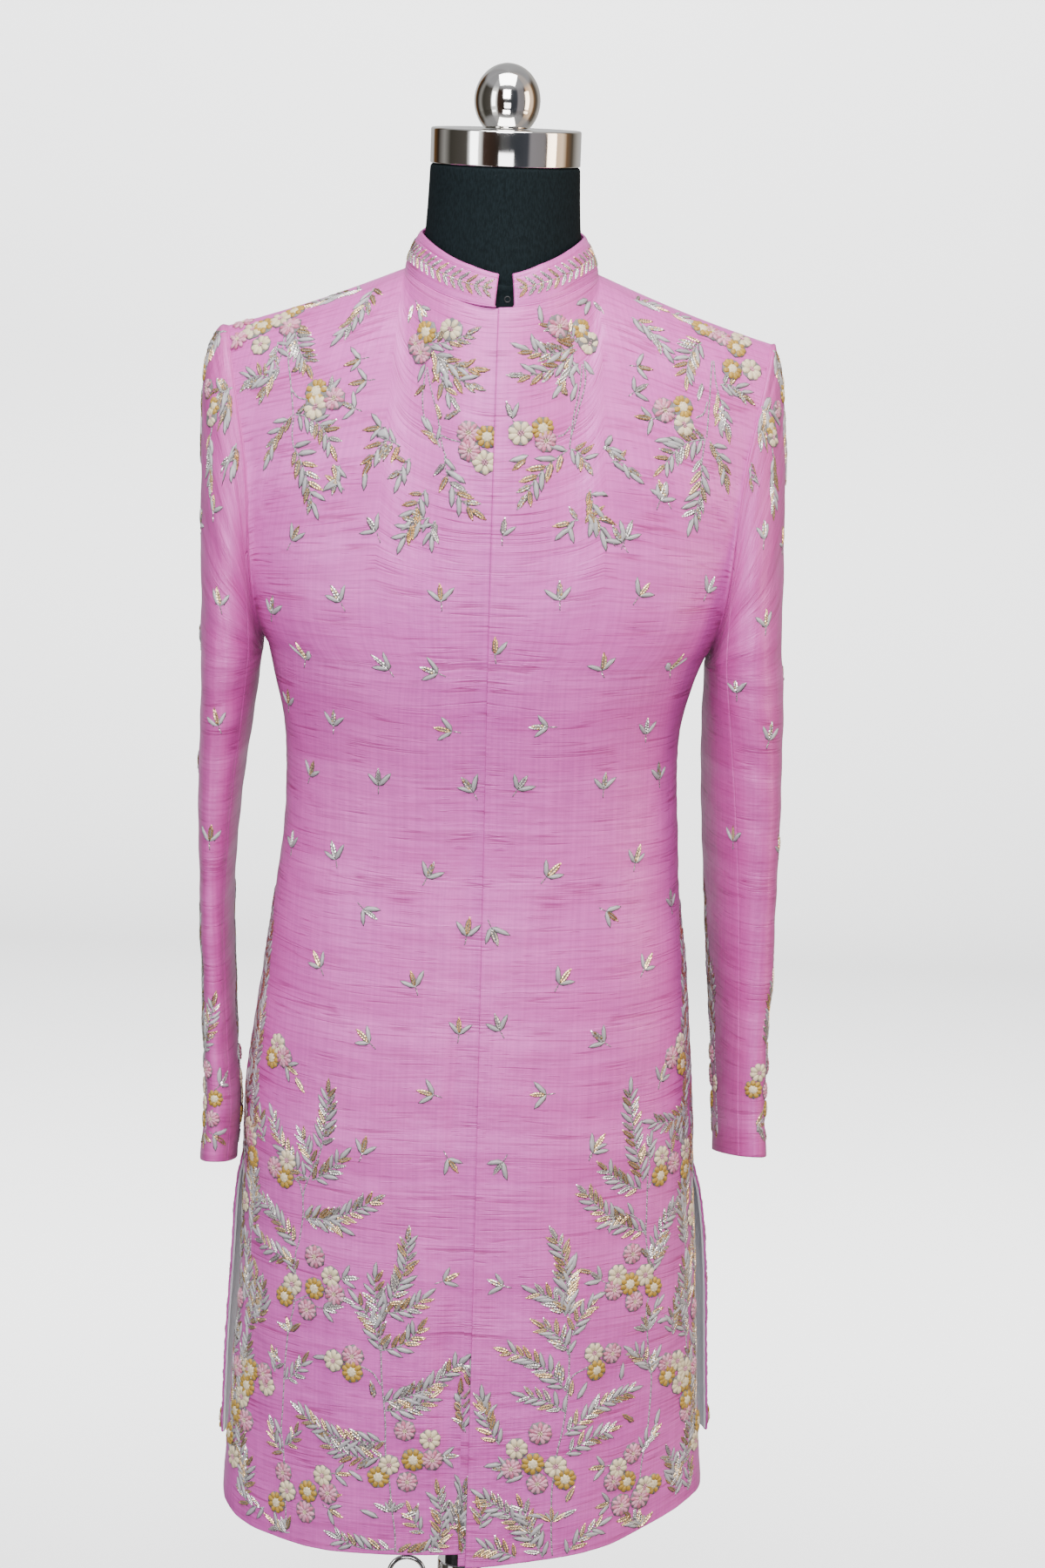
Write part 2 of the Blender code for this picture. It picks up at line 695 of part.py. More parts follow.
# ---------------------------------------------------------------- form
def form_inset(z):
    return table_value(FORM_INSETS, FORM_COLS, "inset", z)


def build_form(parts, guides, black):
    """Smooth torso that follows the inside of the coat, with a round neck."""
    above = [z for z in lower_heights("front", 15) if z > SLIT_TOP_Z]
    heights = [FORM_BOTTOM_Z] + [z for z in above if z > FORM_BOTTOM_Z + 0.005]
    heights += upper_heights(UPPER_ROWS)
    mesh = bmesh.new()
    for side in (1, -1):
        for face in ("front", "back"):
            columns = FRONT_NECK_COLUMNS if face == "front" else BACK_NECK_COLUMNS
            shares = panel_shares(columns, ARM_COLUMNS)
            grid = panel_grid(side, face, shares, heights, folds=False)
            rows = [[mesh.verts.new(tuple(p)) for p in row] for row in grid]
            for low, high in zip(rows[:-1], rows[1:]):
                for i in range(len(low) - 1):
                    corners = [low[i], low[i + 1], high[i + 1], high[i]]
                    if (side > 0) != (face == "front"):
                        corners.reverse()
                    mesh.faces.new(corners)
    bmesh.ops.remove_doubles(mesh, verts=mesh.verts, dist=0.0002)
    mesh.normal_update()
    places = {}
    for vert in mesh.verts:
        x, y, z = vert.co
        inset = form_inset(z)
        near = math.hypot(x / NECK_HALF, (y + 0.004) / 0.083)
        if z > 1.40:
            inset += 0.0055 * smooth_step((1.35 - near) / 0.35)
        if y < 0.0:
            lap = 1.0 - smooth_step((abs(x) - 0.052) / 0.030)
            inset += (LAP_SINK + 0.0002) * lap * smooth_step((1.46 - z) / 0.01)
        if z > ARMPIT_Z + 0.005:
            inset += 0.0012 * smooth_step((abs(x) - 0.165) / 0.02)
        places[vert] = vert.co - vert.normal * inset
    for vert, place in places.items():
        vert.co = place
    open_edges = [e for e in mesh.edges if e.is_boundary]
    low_edges = [e for e in open_edges if max(v.co.z for v in e.verts) < 0.83]
    neck_edges = [e for e in open_edges
                  if all(v.co.z > 1.40 and abs(v.co.x) < 0.09 for v in e.verts)]
    arm_edges = [e for e in open_edges if e not in low_edges and e not in neck_edges]
    for edge in low_edges:
        for vert in edge.verts:
            vert.co.z = FORM_BOTTOM_Z
    bmesh.ops.edgeloop_fill(mesh, edges=low_edges)
    hubs = [(neck_edges, (0.0, 0.0, 0.012))]
    for sign in (1, -1):
        loop = [e for e in arm_edges if e.verts[0].co.x * sign > 0]
        hubs.append((loop, (sign * 0.006, 0.0, 0.0)))
    for loop, push in hubs:
        made = bmesh.ops.edgeloop_fill(mesh, edges=loop)
        hub = bmesh.ops.poke(mesh, faces=made["faces"])
        bmesh.ops.translate(mesh, verts=hub["verts"], vec=push)
    bmesh.ops.recalc_face_normals(mesh, faces=mesh.faces)
    data = bpy.data.meshes.new("form_torso")
    mesh.to_mesh(data)
    mesh.free()
    item = bpy.data.objects.new("form_torso", data)
    parts.objects.link(item)
    data.materials.append(black)
    data.shade_smooth()
    top = CAP_BOTTOM_Z - SEAM_GAP
    profile = [(0.0, top), (0.0585, top), (0.0600, top - 0.0015), (0.0606, 1.535),
               (0.0614, 1.515), (0.0626, 1.494), (0.0634, 1.480), (0.0645, 1.468),
               (0.0665, 1.455), (0.0600, 1.430), (0.0, 1.430)]
    neck = turned("form_neck_guide", profile, black, guides, 44)
    neck.hide_render = True
    neck.display_type = "WIRE"
    join = item.modifiers.new("neck", "BOOLEAN")
    join.operation = "UNION"
    join.solver = "EXACT"
    join.object = neck
    return item


def turned(name, profile, material, parts, steps=40):
    """A solid of revolution; the profile runs down its outer side."""
    data = bpy.data.meshes.new(name)
    points = [(x, 0.0, z) for x, z in profile]
    edges = [(i, i + 1) for i in range(len(points) - 1)]
    data.from_pydata(points, edges, [])
    item = bpy.data.objects.new(name, data)
    parts.objects.link(item)
    data.materials.append(material)
    screw = item.modifiers.new("turn", "SCREW")
    screw.steps = steps
    screw.render_steps = steps
    screw.use_merge_vertices = True
    screw.merge_threshold = 0.00005
    screw.use_smooth_shade = True
    return item


def build_neck_cap(parts, chrome):
    rim = 0.0016
    profile = [(0.0, CAP_TOP_Z), (CAP_R - rim * 2, CAP_TOP_Z),
               (CAP_R - rim * 0.6, CAP_TOP_Z - rim * 0.3),
               (CAP_R, CAP_TOP_Z - rim), (CAP_R, CAP_BOTTOM_Z + rim),
               (CAP_R - rim * 0.6, CAP_BOTTOM_Z + rim * 0.3),
               (CAP_R - rim * 2, CAP_BOTTOM_Z), (0.0, CAP_BOTTOM_Z)]
    turned("neck_cap", profile, chrome, parts, 44)
    low = CAP_TOP_Z + SEAM_GAP
    profile = [(0.0, BALL_Z + BALL_HALF)]
    bottom = math.asin((low - BALL_Z) / BALL_HALF)
    for i in range(1, 12):
        angle = math.pi / 2 + (bottom - math.pi / 2) * i / 11
        profile.append((BALL_R * math.cos(angle),
                        BALL_Z + BALL_HALF * math.sin(angle)))
    profile.append((0.0, low))
    turned("ball_finial", profile, chrome, parts, 28)


def build_stand(parts, paint, chrome):
    pole_low = BASE_H + 0.030
    bpy.ops.mesh.primitive_cylinder_add(
        vertices=28, radius=POLE_R, depth=FORM_BOTTOM_Z - SEAM_GAP - pole_low,
        location=(0, 0, (FORM_BOTTOM_Z - SEAM_GAP + pole_low) / 2))
    take("pole", paint, parts)
    inner = POLE_R + SEAM_GAP
    low = BASE_H + SEAM_GAP
    profile = [(inner, TUBE_TOP_Z - 0.022), (TUBE_R, TUBE_TOP_Z - 0.022),
               (TUBE_R, low + 0.020), (0.026, low + 0.014), (0.030, low + 0.004),
               (0.030, low), (0.0, low), (0.0, low + 0.014),
               (inner, low + 0.014), (inner, TUBE_TOP_Z - 0.022)]
    turned("stand_tube", profile, paint, parts, 28)
    top = TUBE_TOP_Z + 0.012
    outer = TUBE_R + 0.0030
    low = TUBE_TOP_Z - 0.0217
    profile = [(inner, top), (outer - 0.001, top), (outer, top - 0.001),
               (outer, low + 0.001), (outer - 0.001, low), (inner, low),
               (inner, top)]
    turned("height_clamp", profile, chrome, parts, 32)
    angle = math.pi
    reach = outer + SEAM_GAP
    z = TUBE_TOP_Z - 0.004
    centre = reach + 0.0260
    ring = bpy.data.curves.new("clamp_screw", "CURVE")
    ring.dimensions = "3D"
    ring.bevel_depth = 0.0021
    ring.bevel_resolution = 2
    ring.use_fill_caps = True
    line = ring.splines.new("POLY")
    radius = 0.0150
    spots = [(reach, 0.0), (reach + 0.0070, 0.0)]
    for i in range(0, 21):
        turn = math.radians(202 + (518 - 202) * i / 20)
        spots.append((centre + radius * math.cos(turn), radius * math.sin(turn)))
    line.points.add(len(spots) - 1)
    for point, (out, up) in zip(line.points, spots):
        point.co = (out * math.cos(angle), out * math.sin(angle), z + up, 1.0)
    item = bpy.data.objects.new("clamp_screw", ring)
    parts.objects.link(item)
    ring.materials.append(chrome)
    profile = [(0.0, BASE_H), (0.060, BASE_H), (BASE_R - 0.020, BASE_H - 0.004),
               (BASE_R - 0.004, BASE_H - 0.007), (BASE_R, 0.0045),
               (BASE_R, 0.0015), (BASE_R - 0.0015, 0.0), (0.0, 0.0)]
    turned("base_disc", profile, paint, parts, 48)


def take(name, material, parts):
    """Name the object just added and file it with the other parts."""
    item = bpy.context.active_object
    item.name = name
    item.data.name = name
    item.data.materials.append(material)
    for group in list(item.users_collection):
        group.objects.unlink(item)
    parts.objects.link(item)
    item.data.shade_smooth()
    item.data.set_sharp_from_angle(angle=math.radians(40))
    return item


def main():
    clear_scene()
    parts = bpy.data.collections.new("sherwani_coat")
    bpy.context.scene.collection.children.link(parts)
    guides = bpy.data.collections.new("form_guides")
    bpy.context.scene.collection.children.link(guides)
    cloth = make_material("pink_silk", PINK, 0.45, 0.0)
    pale = make_material("pale_lining", PALE_LINING, 0.40, 0.0)
    black = make_material("black_jersey", BLACK_CLOTH, 0.90, 0.0)
    paint = make_material("black_paint", BLACK_PAINT, 0.45, 0.0)
    chrome = make_material("polished_chrome", CHROME, 0.12, 1.0)
    build_fronts(parts, cloth)
    build_backs(parts, cloth, pale)
    build_collar(parts, cloth)
    build_sleeve(parts, cloth, 1, "left", SLEEVE_LEFT)
    build_sleeve(parts, cloth, -1, "right", SLEEVE_RIGHT)
    build_form(parts, guides, black)
    build_neck_cap(parts, chrome)
    build_stand(parts, paint, chrome)


main()
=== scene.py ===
"""Look of a sherwani coat on a dress form: raw silk, embroidery and stand.

Each cloth piece is a fine sheet on the same sections as the solid that it
replaces, with its creases listed one by one.  The embroidery is laid out on the
flat cloth, in millimetres from the front edge or centre seam and up from the
floor, and is then carried onto the sheet.  Metres, +Z up, front towards -Y;
side 1 is the wearer's left, side -1 the right.
"""

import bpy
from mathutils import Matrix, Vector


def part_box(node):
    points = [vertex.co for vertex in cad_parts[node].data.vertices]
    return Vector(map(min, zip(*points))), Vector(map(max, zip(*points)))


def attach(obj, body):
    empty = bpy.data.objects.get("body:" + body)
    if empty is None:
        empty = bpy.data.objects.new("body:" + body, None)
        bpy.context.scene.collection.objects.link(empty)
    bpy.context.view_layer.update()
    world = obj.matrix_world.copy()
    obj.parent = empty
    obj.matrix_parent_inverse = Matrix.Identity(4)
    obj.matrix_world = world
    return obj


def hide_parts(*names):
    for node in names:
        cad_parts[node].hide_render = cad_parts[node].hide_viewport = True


bl_info = {
    "name": "Sherwani Coat",
    "version": (1, 0, 0),
    "blender": (4, 5, 0),
    "location": "View3D > Sidebar > Sherwani",
    "description": "Builds an embroidered sherwani coat on a dress form",
    "category": "Object",
}

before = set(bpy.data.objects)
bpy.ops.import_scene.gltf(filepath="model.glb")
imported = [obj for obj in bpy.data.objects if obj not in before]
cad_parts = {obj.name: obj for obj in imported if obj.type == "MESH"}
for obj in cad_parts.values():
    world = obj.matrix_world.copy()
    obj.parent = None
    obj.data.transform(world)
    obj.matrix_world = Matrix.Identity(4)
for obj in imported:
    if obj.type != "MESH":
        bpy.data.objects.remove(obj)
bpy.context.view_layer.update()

import math

import bpy
import numpy as np
from bpy.props import FloatProperty, FloatVectorProperty, PointerProperty
from mathutils import Quaternion, Vector

# ---------------------------------------------------------------- sizes
ARMPIT_Z = 1.165
HEM_Z = 0.404
BACK_HEM_Z = 0.459
UPPER_SPAN = 0.285            # flat height given to the cloth above the armpit
NECK_HALF = 0.0780
NECK_FRONT_Y = -0.0900
NECK_BACK_Y = 0.0760
NECK_FRONT_Z = 1.4445
NECK_SIDE_Z = 1.4665
NECK_BACK_Z = 1.4840
RIM_HALF = 0.0663
RIM_FRONT_Y = -0.0780
RIM_BACK_Y = 0.0690
RIM_FRONT_Z = 1.4730
RIM_SIDE_Z = 1.4970
RIM_BACK_Z = 1.5190
SHOULDER = (0.2200, 0.0080, 1.4150)
NECK_SHARE = 0.36             # share of a panel's top that ends at the neck
NECK_MIDDLE_Y = 0.004          # where the neckline's front and back halves meet
COLLAR_HEIGHT = 0.034
PANEL_WIDTH = 0.260            # widths that set how finely the columns are spaced
LAP_SPAN = 0.270
LINING_SPAN = 0.200
EDGE_REACH = 0.144             # share of the left front drawn to its straight edge
LAP_SINK = 0.0028
LAP_WIDTH = 0.046
SLEEVE_SEAM_FRONT = 0.325
SLEEVE_SEAM_BACK = -0.310
SLEEVE_POWER = 2.3
SLEEVE_HEAD = 0.270           # flat height given to the sleeve above its top
HEAD_PULL = {1: 0.040, -1: 0.098}
CUFF_SLANT = 0.24             # rise of the cuff towards the front

SECTIONS = (
    ("z", "half", "shift", "side_y", "front_y", "back_y", "power"),
    (0.400, 0.2035, 0.000, 0.000, -0.1370, 0.128, 2.15),
    (0.450, 0.2020, 0.000, 0.000, -0.1360, 0.127, 2.15),
    (0.540, 0.1965, -0.001, 0.002, -0.1330, 0.125, 2.15),
    (0.620, 0.1925, -0.001, 0.004, -0.1300, 0.123, 2.20),
    (0.700, 0.1900, -0.003, 0.006, -0.1270, 0.121, 2.20),
    (0.780, 0.1885, -0.005, 0.008, -0.1240, 0.121, 2.25),
    (0.850, 0.1815, -0.004, 0.008, -0.1200, 0.118, 2.25),
    (0.900, 0.1755, -0.003, 0.007, -0.1165, 0.112, 2.25),
    (0.960, 0.1675, -0.003, 0.005, -0.1120, 0.100, 2.25),
    (1.010, 0.1632, -0.002, 0.003, -0.1100, 0.091, 2.25),
    (1.060, 0.1612, -0.003, 0.001, -0.1125, 0.090, 2.25),
    (1.100, 0.1632, -0.004, 0.000, -0.1175, 0.096, 2.30),
    (1.135, 0.1712, -0.004, 0.000, -0.1220, 0.103, 2.35),
    (1.165, 0.1800, -0.002, 0.000, -0.1255, 0.109, 2.40),
)
SKIRT = (
    ("z", "front_grow", "front_edge", "back_grow", "back_edge"),
    (0.400, 0.0005, 0.000, 0.0090, 0.056),
    (0.480, 0.0005, 0.000, 0.0110, 0.052),
    (0.560, 0.0005, 0.000, 0.0125, 0.046),
    (0.640, 0.0005, 0.001, 0.0115, 0.036),
    (0.690, 0.0003, 0.003, 0.0080, 0.022),
    (0.715, 0.0001, 0.005, 0.0030, 0.011),
    (0.728, 0.0000, 0.006, 0.0000, 0.006),
    (0.760, 0.0000, 0.007, 0.0000, 0.007),
)
ARMHOLE = (
    ("z", "x", "front_y", "back_y"),
    (1.165, 0.1800, 0.000, 0.000),
    (1.174, 0.1835, -0.027, 0.029),
    (1.192, 0.1880, -0.045, 0.050),
    (1.220, 0.1920, -0.057, 0.062),
    (1.250, 0.1945, -0.061, 0.067),
    (1.283, 0.1965, -0.059, 0.067),
    (1.310, 0.1990, -0.054, 0.064),
    (1.337, 0.2035, -0.047, 0.058),
    (1.363, 0.2090, -0.037, 0.050),
    (1.387, 0.2140, -0.024, 0.038),
    (1.403, 0.2175, -0.011, 0.026),
    (1.415, 0.2200, 0.008, 0.008),
)
SLEEVES = {
    -1: (
        ("z", "x", "y", "thick", "depth", "yaw"),
        (1.150, 0.2090, -0.001, 0.0245, 0.0770, 0.0),
        (1.100, 0.2120, 0.000, 0.0215, 0.0755, 0.0),
        (1.040, 0.2160, 0.003, 0.0175, 0.0735, 0.0),
        (0.970, 0.2180, 0.005, 0.0139, 0.0710, 0.0),
        (0.930, 0.2176, 0.004, 0.0126, 0.0690, 0.0),
        (0.880, 0.2152, 0.001, 0.0124, 0.0660, 0.0),
        (0.820, 0.2121, -0.006, 0.0131, 0.0625, 0.0),
        (0.770, 0.2087, -0.013, 0.0140, 0.0595, 0.0),
        (0.722, 0.2107, -0.019, 0.0145, 0.0575, 0.0),
    ),
    1: (
        ("z", "x", "y", "thick", "depth", "yaw"),
        (1.150, 0.2105, -0.002, 0.0300, 0.0770, 4.0),
        (1.100, 0.2117, 0.000, 0.0296, 0.0755, 8.0),
        (1.040, 0.2138, 0.002, 0.0274, 0.0735, 11.0),
        (0.970, 0.2158, 0.004, 0.0229, 0.0705, 13.0),
        (0.910, 0.2185, 0.003, 0.0210, 0.0675, 13.0),
        (0.857, 0.2201, 0.000, 0.0175, 0.0645, 12.0),
        (0.790, 0.2225, -0.008, 0.0159, 0.0605, 11.0),
        (0.741, 0.2255, -0.016, 0.0169, 0.0580, 11.0),
    ),
}
# Hem of each front, by share of its width from the centre.
FRONT_HEM = (
    ("share", "left", "right"),
    (0.0, 0.4130, 0.4235),
    (0.1, 0.4150, 0.4230),
    (0.2, 0.4187, 0.4213),
    (0.3, 0.4222, 0.4200),
    (0.4, 0.4255, 0.4180),
    (0.5, 0.4285, 0.4162),
    (0.6, 0.4350, 0.4162),
    (0.7, 0.4420, 0.4175),
    (0.8, 0.4490, 0.4228),
    (0.9, 0.4510, 0.4300),
    (1.0, 0.4570, 0.4400),
)
# Standing folds: across (share), top z, low z, width, depth, drift.
FOLDS = {
    "front": (
        (0.30, 0.860, 0.380, 0.100, 0.0040, 0.05),
        (0.56, 0.820, 0.380, 0.110, -0.0035, 0.03),
        (0.80, 0.760, 0.380, 0.090, 0.0045, 0.02),
    ),
    "back": (
        (0.18, 0.860, 0.400, 0.110, 0.0040, 0.02),
        (0.45, 0.850, 0.400, 0.120, -0.0055, 0.03),
        (0.72, 0.830, 0.400, 0.110, 0.0060, 0.02),
    ),
}


# ---------------------------------------------------------------- curves
def smooth(value):
    value = np.clip(value, 0.0, 1.0)
    return value * value * (3.0 - 2.0 * value)


def hermite(start, start_pull, end, end_pull, t):
    return (start * (2 * t ** 3 - 3 * t ** 2 + 1)
            + start_pull * (t ** 3 - 2 * t ** 2 + t)
            + end * (3 * t ** 2 - 2 * t ** 3)
            + end_pull * (t ** 3 - t ** 2))


def curve(places, values, at):
    """Cubic curve through rising places, level beyond both ends."""
    places = np.asarray(places, float)
    values = np.asarray(values, float)
    last = len(places) - 1
    low = np.maximum(np.arange(last + 1) - 1, 0)
    high = np.minimum(np.arange(last + 1) + 1, last)
    slopes = (values[high] - values[low]) / (places[high] - places[low])
    at = np.clip(at, places[0], places[-1])
    i = np.clip(np.searchsorted(places, at, side="right") - 1, 0, last - 1)
    step = places[i + 1] - places[i]
    return hermite(values[i], slopes[i] * step, values[i + 1],
                   slopes[i + 1] * step, (at - places[i]) / step)


def read(table, name, z):
    rows = sorted(table[1:])
    column = table[0].index(name)
    return curve([row[0] for row in rows], [row[column] for row in rows], z)


def read_armhole(name, z):
    """The armhole is read by its angle, level at the armpit and shoulder."""
    low = ARMHOLE[1][0]
    high = ARMHOLE[-1][0]

    def angle(height):
        share = np.clip((np.asarray(height) - low) / (high - low), 0.0, 1.0)
        return np.arccos(1.0 - 2.0 * share)

    column = ARMHOLE[0].index(name)
    places = angle([row[0] for row in ARMHOLE[1:]])
    return curve(places, [row[column] for row in ARMHOLE[1:]], angle(z))


def along(chain, shares):
    """Points at shares of the length of a chain of points."""
    chain = np.asarray(chain, float)
    steps = np.linalg.norm(np.diff(chain, axis=0), axis=1)
    run = np.concatenate(([0.0], np.cumsum(steps))) / steps.sum()
    return np.stack([np.interp(shares, run, chain[:, k]) for k in range(3)], -1)


def ripple(u, v, length, seed, stretch=1.0):
    """Soft unevenness between -1 and 1, the same on every run."""
    rng = np.random.RandomState(seed)
    total = np.zeros(np.broadcast(u, v).shape)
    for _ in range(9):
        turn = rng.uniform(0, math.tau)
        size = length * rng.uniform(0.7, 1.6)
        phase = rng.uniform(0, math.tau)
        total = total + np.cos(math.tau / size * (u * math.cos(turn) * stretch
                                                  + v * math.sin(turn)) + phase)
    return total / 4.0


def spaced(length, step, edge=(0.0004, 0.0010, 0.0018, 0.0030)):
    """Places from 0 to length, a step apart, closer together at both ends."""
    start = np.concatenate(([0.0], edge))
    count = max(2, int(round((length - 2 * edge[-1]) / step)))
    inner = np.linspace(edge[-1], length - edge[-1], count + 1)[1:-1]
    return np.concatenate((start, inner, length - start[::-1]))


def rolled(distance, radius):
    """How far an edge turned over a radius falls back, by distance in."""
    inside = np.clip(1.0 - distance / radius, 0.0, 1.0)
    return radius * (1.0 - np.sqrt(1.0 - inside ** 2 + 1e-12))


def grid_normals(points):
    across = np.gradient(points, axis=1)
    up = np.gradient(points, axis=0)
    normals = np.cross(across, up)
    return normals / np.linalg.norm(normals, axis=2, keepdims=True)


def creased(u, v, creases):
    """Troughs and ridges: from (u, v) to (u, v), bend, width and depth, in mm."""
    total = np.zeros(np.broadcast(u, v).shape)
    for u0, v0, u1, v1, bend, width, depth in np.asarray(creases, float) / 1000:
        run = math.hypot(u1 - u0, v1 - v0)
        du = (u1 - u0) / run
        dv = (v1 - v0) / run
        length = ((u - u0) * du + (v - v0) * dv) / run
        aside = (v - v0) * du - (u - u0) * dv
        aside = aside - bend * 4.0 * length * (1.0 - length)
        taper = np.clip(1.15 - (2.0 * length - 1.0) ** 2, 0.0, 1.0) ** 1.5
        total = total + depth * taper * np.exp(-(aside / width) ** 2)
    return total


class Cloth:
    """A fine surface with a flat chart: u across from its edge, v up."""

    def __init__(self, points, across, up, hand=1):
        self.points = points
        self.across = across
        self.up = up
        self.hand = hand
        steps = np.linalg.norm(np.diff(points, axis=1), axis=2)
        self.widths = steps.sum(axis=1) / (across[-1] - across[0])
        self.normals = grid_normals(points) * hand
        self.u = across[None, :] * self.widths[:, None]
        self.v = np.broadcast_to(up[:, None], self.u.shape)

    def push(self, amount):
        self.points = self.points + self.normals * amount[..., None]
        self.normals = grid_normals(self.points) * self.hand

    def place(self, u, v, lift):
        """Carry flat cloth points onto the surface, lifted off it."""
        rows, columns = self.u.shape
        row = np.interp(v, self.up, np.arange(rows))
        share = u / np.interp(row, np.arange(rows), self.widths)
        column = np.interp(share, self.across, np.arange(columns))
        i = np.clip(row.astype(int), 0, rows - 2)
        j = np.clip(column.astype(int), 0, columns - 2)
        a = (row - i)[..., None]
        b = (column - j)[..., None]

        def mixed(grid):
            return ((grid[i, j] * (1 - b) + grid[i, j + 1] * b) * (1 - a)
                    + (grid[i + 1, j] * (1 - b) + grid[i + 1, j + 1] * b) * a)

        return mixed(self.points) + mixed(self.normals) * lift[..., None]


# ---------------------------------------------------------------- coat body
def section_points(face, shares, z):
    """Quarter sections of the body: share 0 is the centre, 1 the side."""
    low = z < SKIRT[-1][0]
    grow = np.where(low, read(SKIRT, face + "_grow", z), 0.0)
    half = (read(SECTIONS, "half", z) + grow)[:, None]
    side_y = np.where(low, read(SKIRT, face + "_edge", z),
                      read(SECTIONS, "side_y", z))[:, None]
    edge_y = read(SECTIONS, face + "_y", z)[:, None]
    power = read(SECTIONS, "power", z)[:, None]
    angles = np.linspace(math.pi / 2, 0.0, 121)[None, :]
    xs = half * np.abs(np.cos(angles)) ** (2.0 / power)
    ys = side_y + (edge_y - side_y) * np.sin(angles) ** (2.0 / power)
    points = np.empty((len(z), len(shares), 3))
    for k in range(len(z)):
        steps = np.hypot(np.diff(xs[k]), np.diff(ys[k]))
        run = np.concatenate(([0.0], np.cumsum(steps))) / steps.sum()
        points[k, :, 0] = np.interp(shares, run, xs[k])
        points[k, :, 1] = np.interp(shares, run, ys[k])
        points[k, :, 2] = z[k]
    return points


def top_points(face, shares):
    """Neckline as far as NECK_SHARE, then the shoulder seam."""
    end_y = NECK_FRONT_Y if face == "front" else NECK_BACK_Y
    end_z = NECK_FRONT_Z if face == "front" else NECK_BACK_Z
    angle = np.clip(shares / NECK_SHARE, 0.0, 1.0) * math.pi / 2
    ring = np.stack([NECK_HALF * np.sin(angle),
                     NECK_MIDDLE_Y + (end_y - NECK_MIDDLE_Y) * np.cos(angle),
                     NECK_SIDE_Z + (end_z - NECK_SIDE_Z) * np.cos(angle) ** 2], -1)
    out = np.clip((shares - NECK_SHARE) / (1.0 - NECK_SHARE), 0.0, 1.0)[:, None]
    ring = ring + (np.array(SHOULDER) - ring) * out
    ring[:, 2] -= 0.0025 * np.sin(math.pi * out[:, 0])
    return ring


def column_points(face, shares, t):
    """Columns above the armpit: t 0 at the armpit, 1 at the top."""
    ends = section_points(face, shares, np.array([ARMPIT_Z, ARMPIT_Z - 0.03]))
    start = ends[0]
    end = top_points(face, shares)
    rise = (end[:, 2] - start[:, 2])[:, None]
    start_pull = (start - ends[1]) / 0.03 * rise * np.array((0.45, 0.8, 1.0))
    turn = np.minimum(1.0, shares / NECK_SHARE) ** 3
    toward = 1.0 if face == "front" else -1.0
    lean = np.minimum((0.36 if face == "front" else 0.62) + turn * 0.6, 1.0)
    lift = (0.90 if face == "front" else 0.75) * (1.0 - turn)
    pull = np.stack([np.zeros_like(lean), toward * lean, lift], -1)
    pull /= np.linalg.norm(pull, axis=1, keepdims=True)
    end_pull = pull * (0.19 + 0.075 * turn)[:, None]
    return hermite(start[None], start_pull[None], end[None], end_pull[None],
                   t[:, None, None])


def side_shift(z):
    rise = 1.0 - smooth((z - ARMPIT_Z) / 0.15)
    return read(SECTIONS, "shift", np.minimum(z, ARMPIT_Z)) * rise


def body_points(side, face, shares, up):
    """Smooth body surface on a grid of shares and flat heights."""
    lower = up[up <= ARMPIT_Z]
    upper = (up[up > ARMPIT_Z] - ARMPIT_Z) / UPPER_SPAN
    points = section_points(face, shares, lower)
    centre = points * np.array((0.0, 0.2, 1.0))
    out = points - centre
    out /= np.linalg.norm(out, axis=2, keepdims=True)
    fold = np.zeros(points.shape[:2])
    for across, top_z, low_z, width, depth, drift in FOLDS[face]:
        down = np.maximum((top_z - lower) / (top_z - low_z), 0.0)[:, None]
        reach = (shares[None, :] - across - drift * down) / (width / 0.26)
        fold += depth * smooth(down * 1.3) * np.exp(-(reach * 2.6) ** 2)
    points = points + out * fold[..., None]
    if len(upper):
        columns = column_points(face, shares, upper)
        edge = column_points(face, np.array([1.0]), upper)[:, 0]
        weight = shares[None, :] ** 5
        columns[:, :, 0] += weight * (read_armhole("x", edge[:, 2])
                                      - edge[:, 0])[:, None]
        columns[:, :, 1] += weight * (read_armhole(face + "_y", edge[:, 2])
                                      - edge[:, 1])[:, None]
        points = np.concatenate((points, columns))
    points[:, :, 0] = side * points[:, :, 0] + side_shift(points[:, :, 2])
    return points


def hem_rise(side, face, shares):
    """Finished hem above the level line, with the rounded front corner."""
    if face == "front":
        return read(FRONT_HEM, "left" if side > 0 else "right", shares) - HEM_Z
    return side * 0.009 * shares


def front_edge_x(z):
    """The overlapping edge runs almost straight down the centre."""
    return 0.006 - 0.007 * smooth((z - HEM_Z) / (NECK_FRONT_Z - HEM_Z))


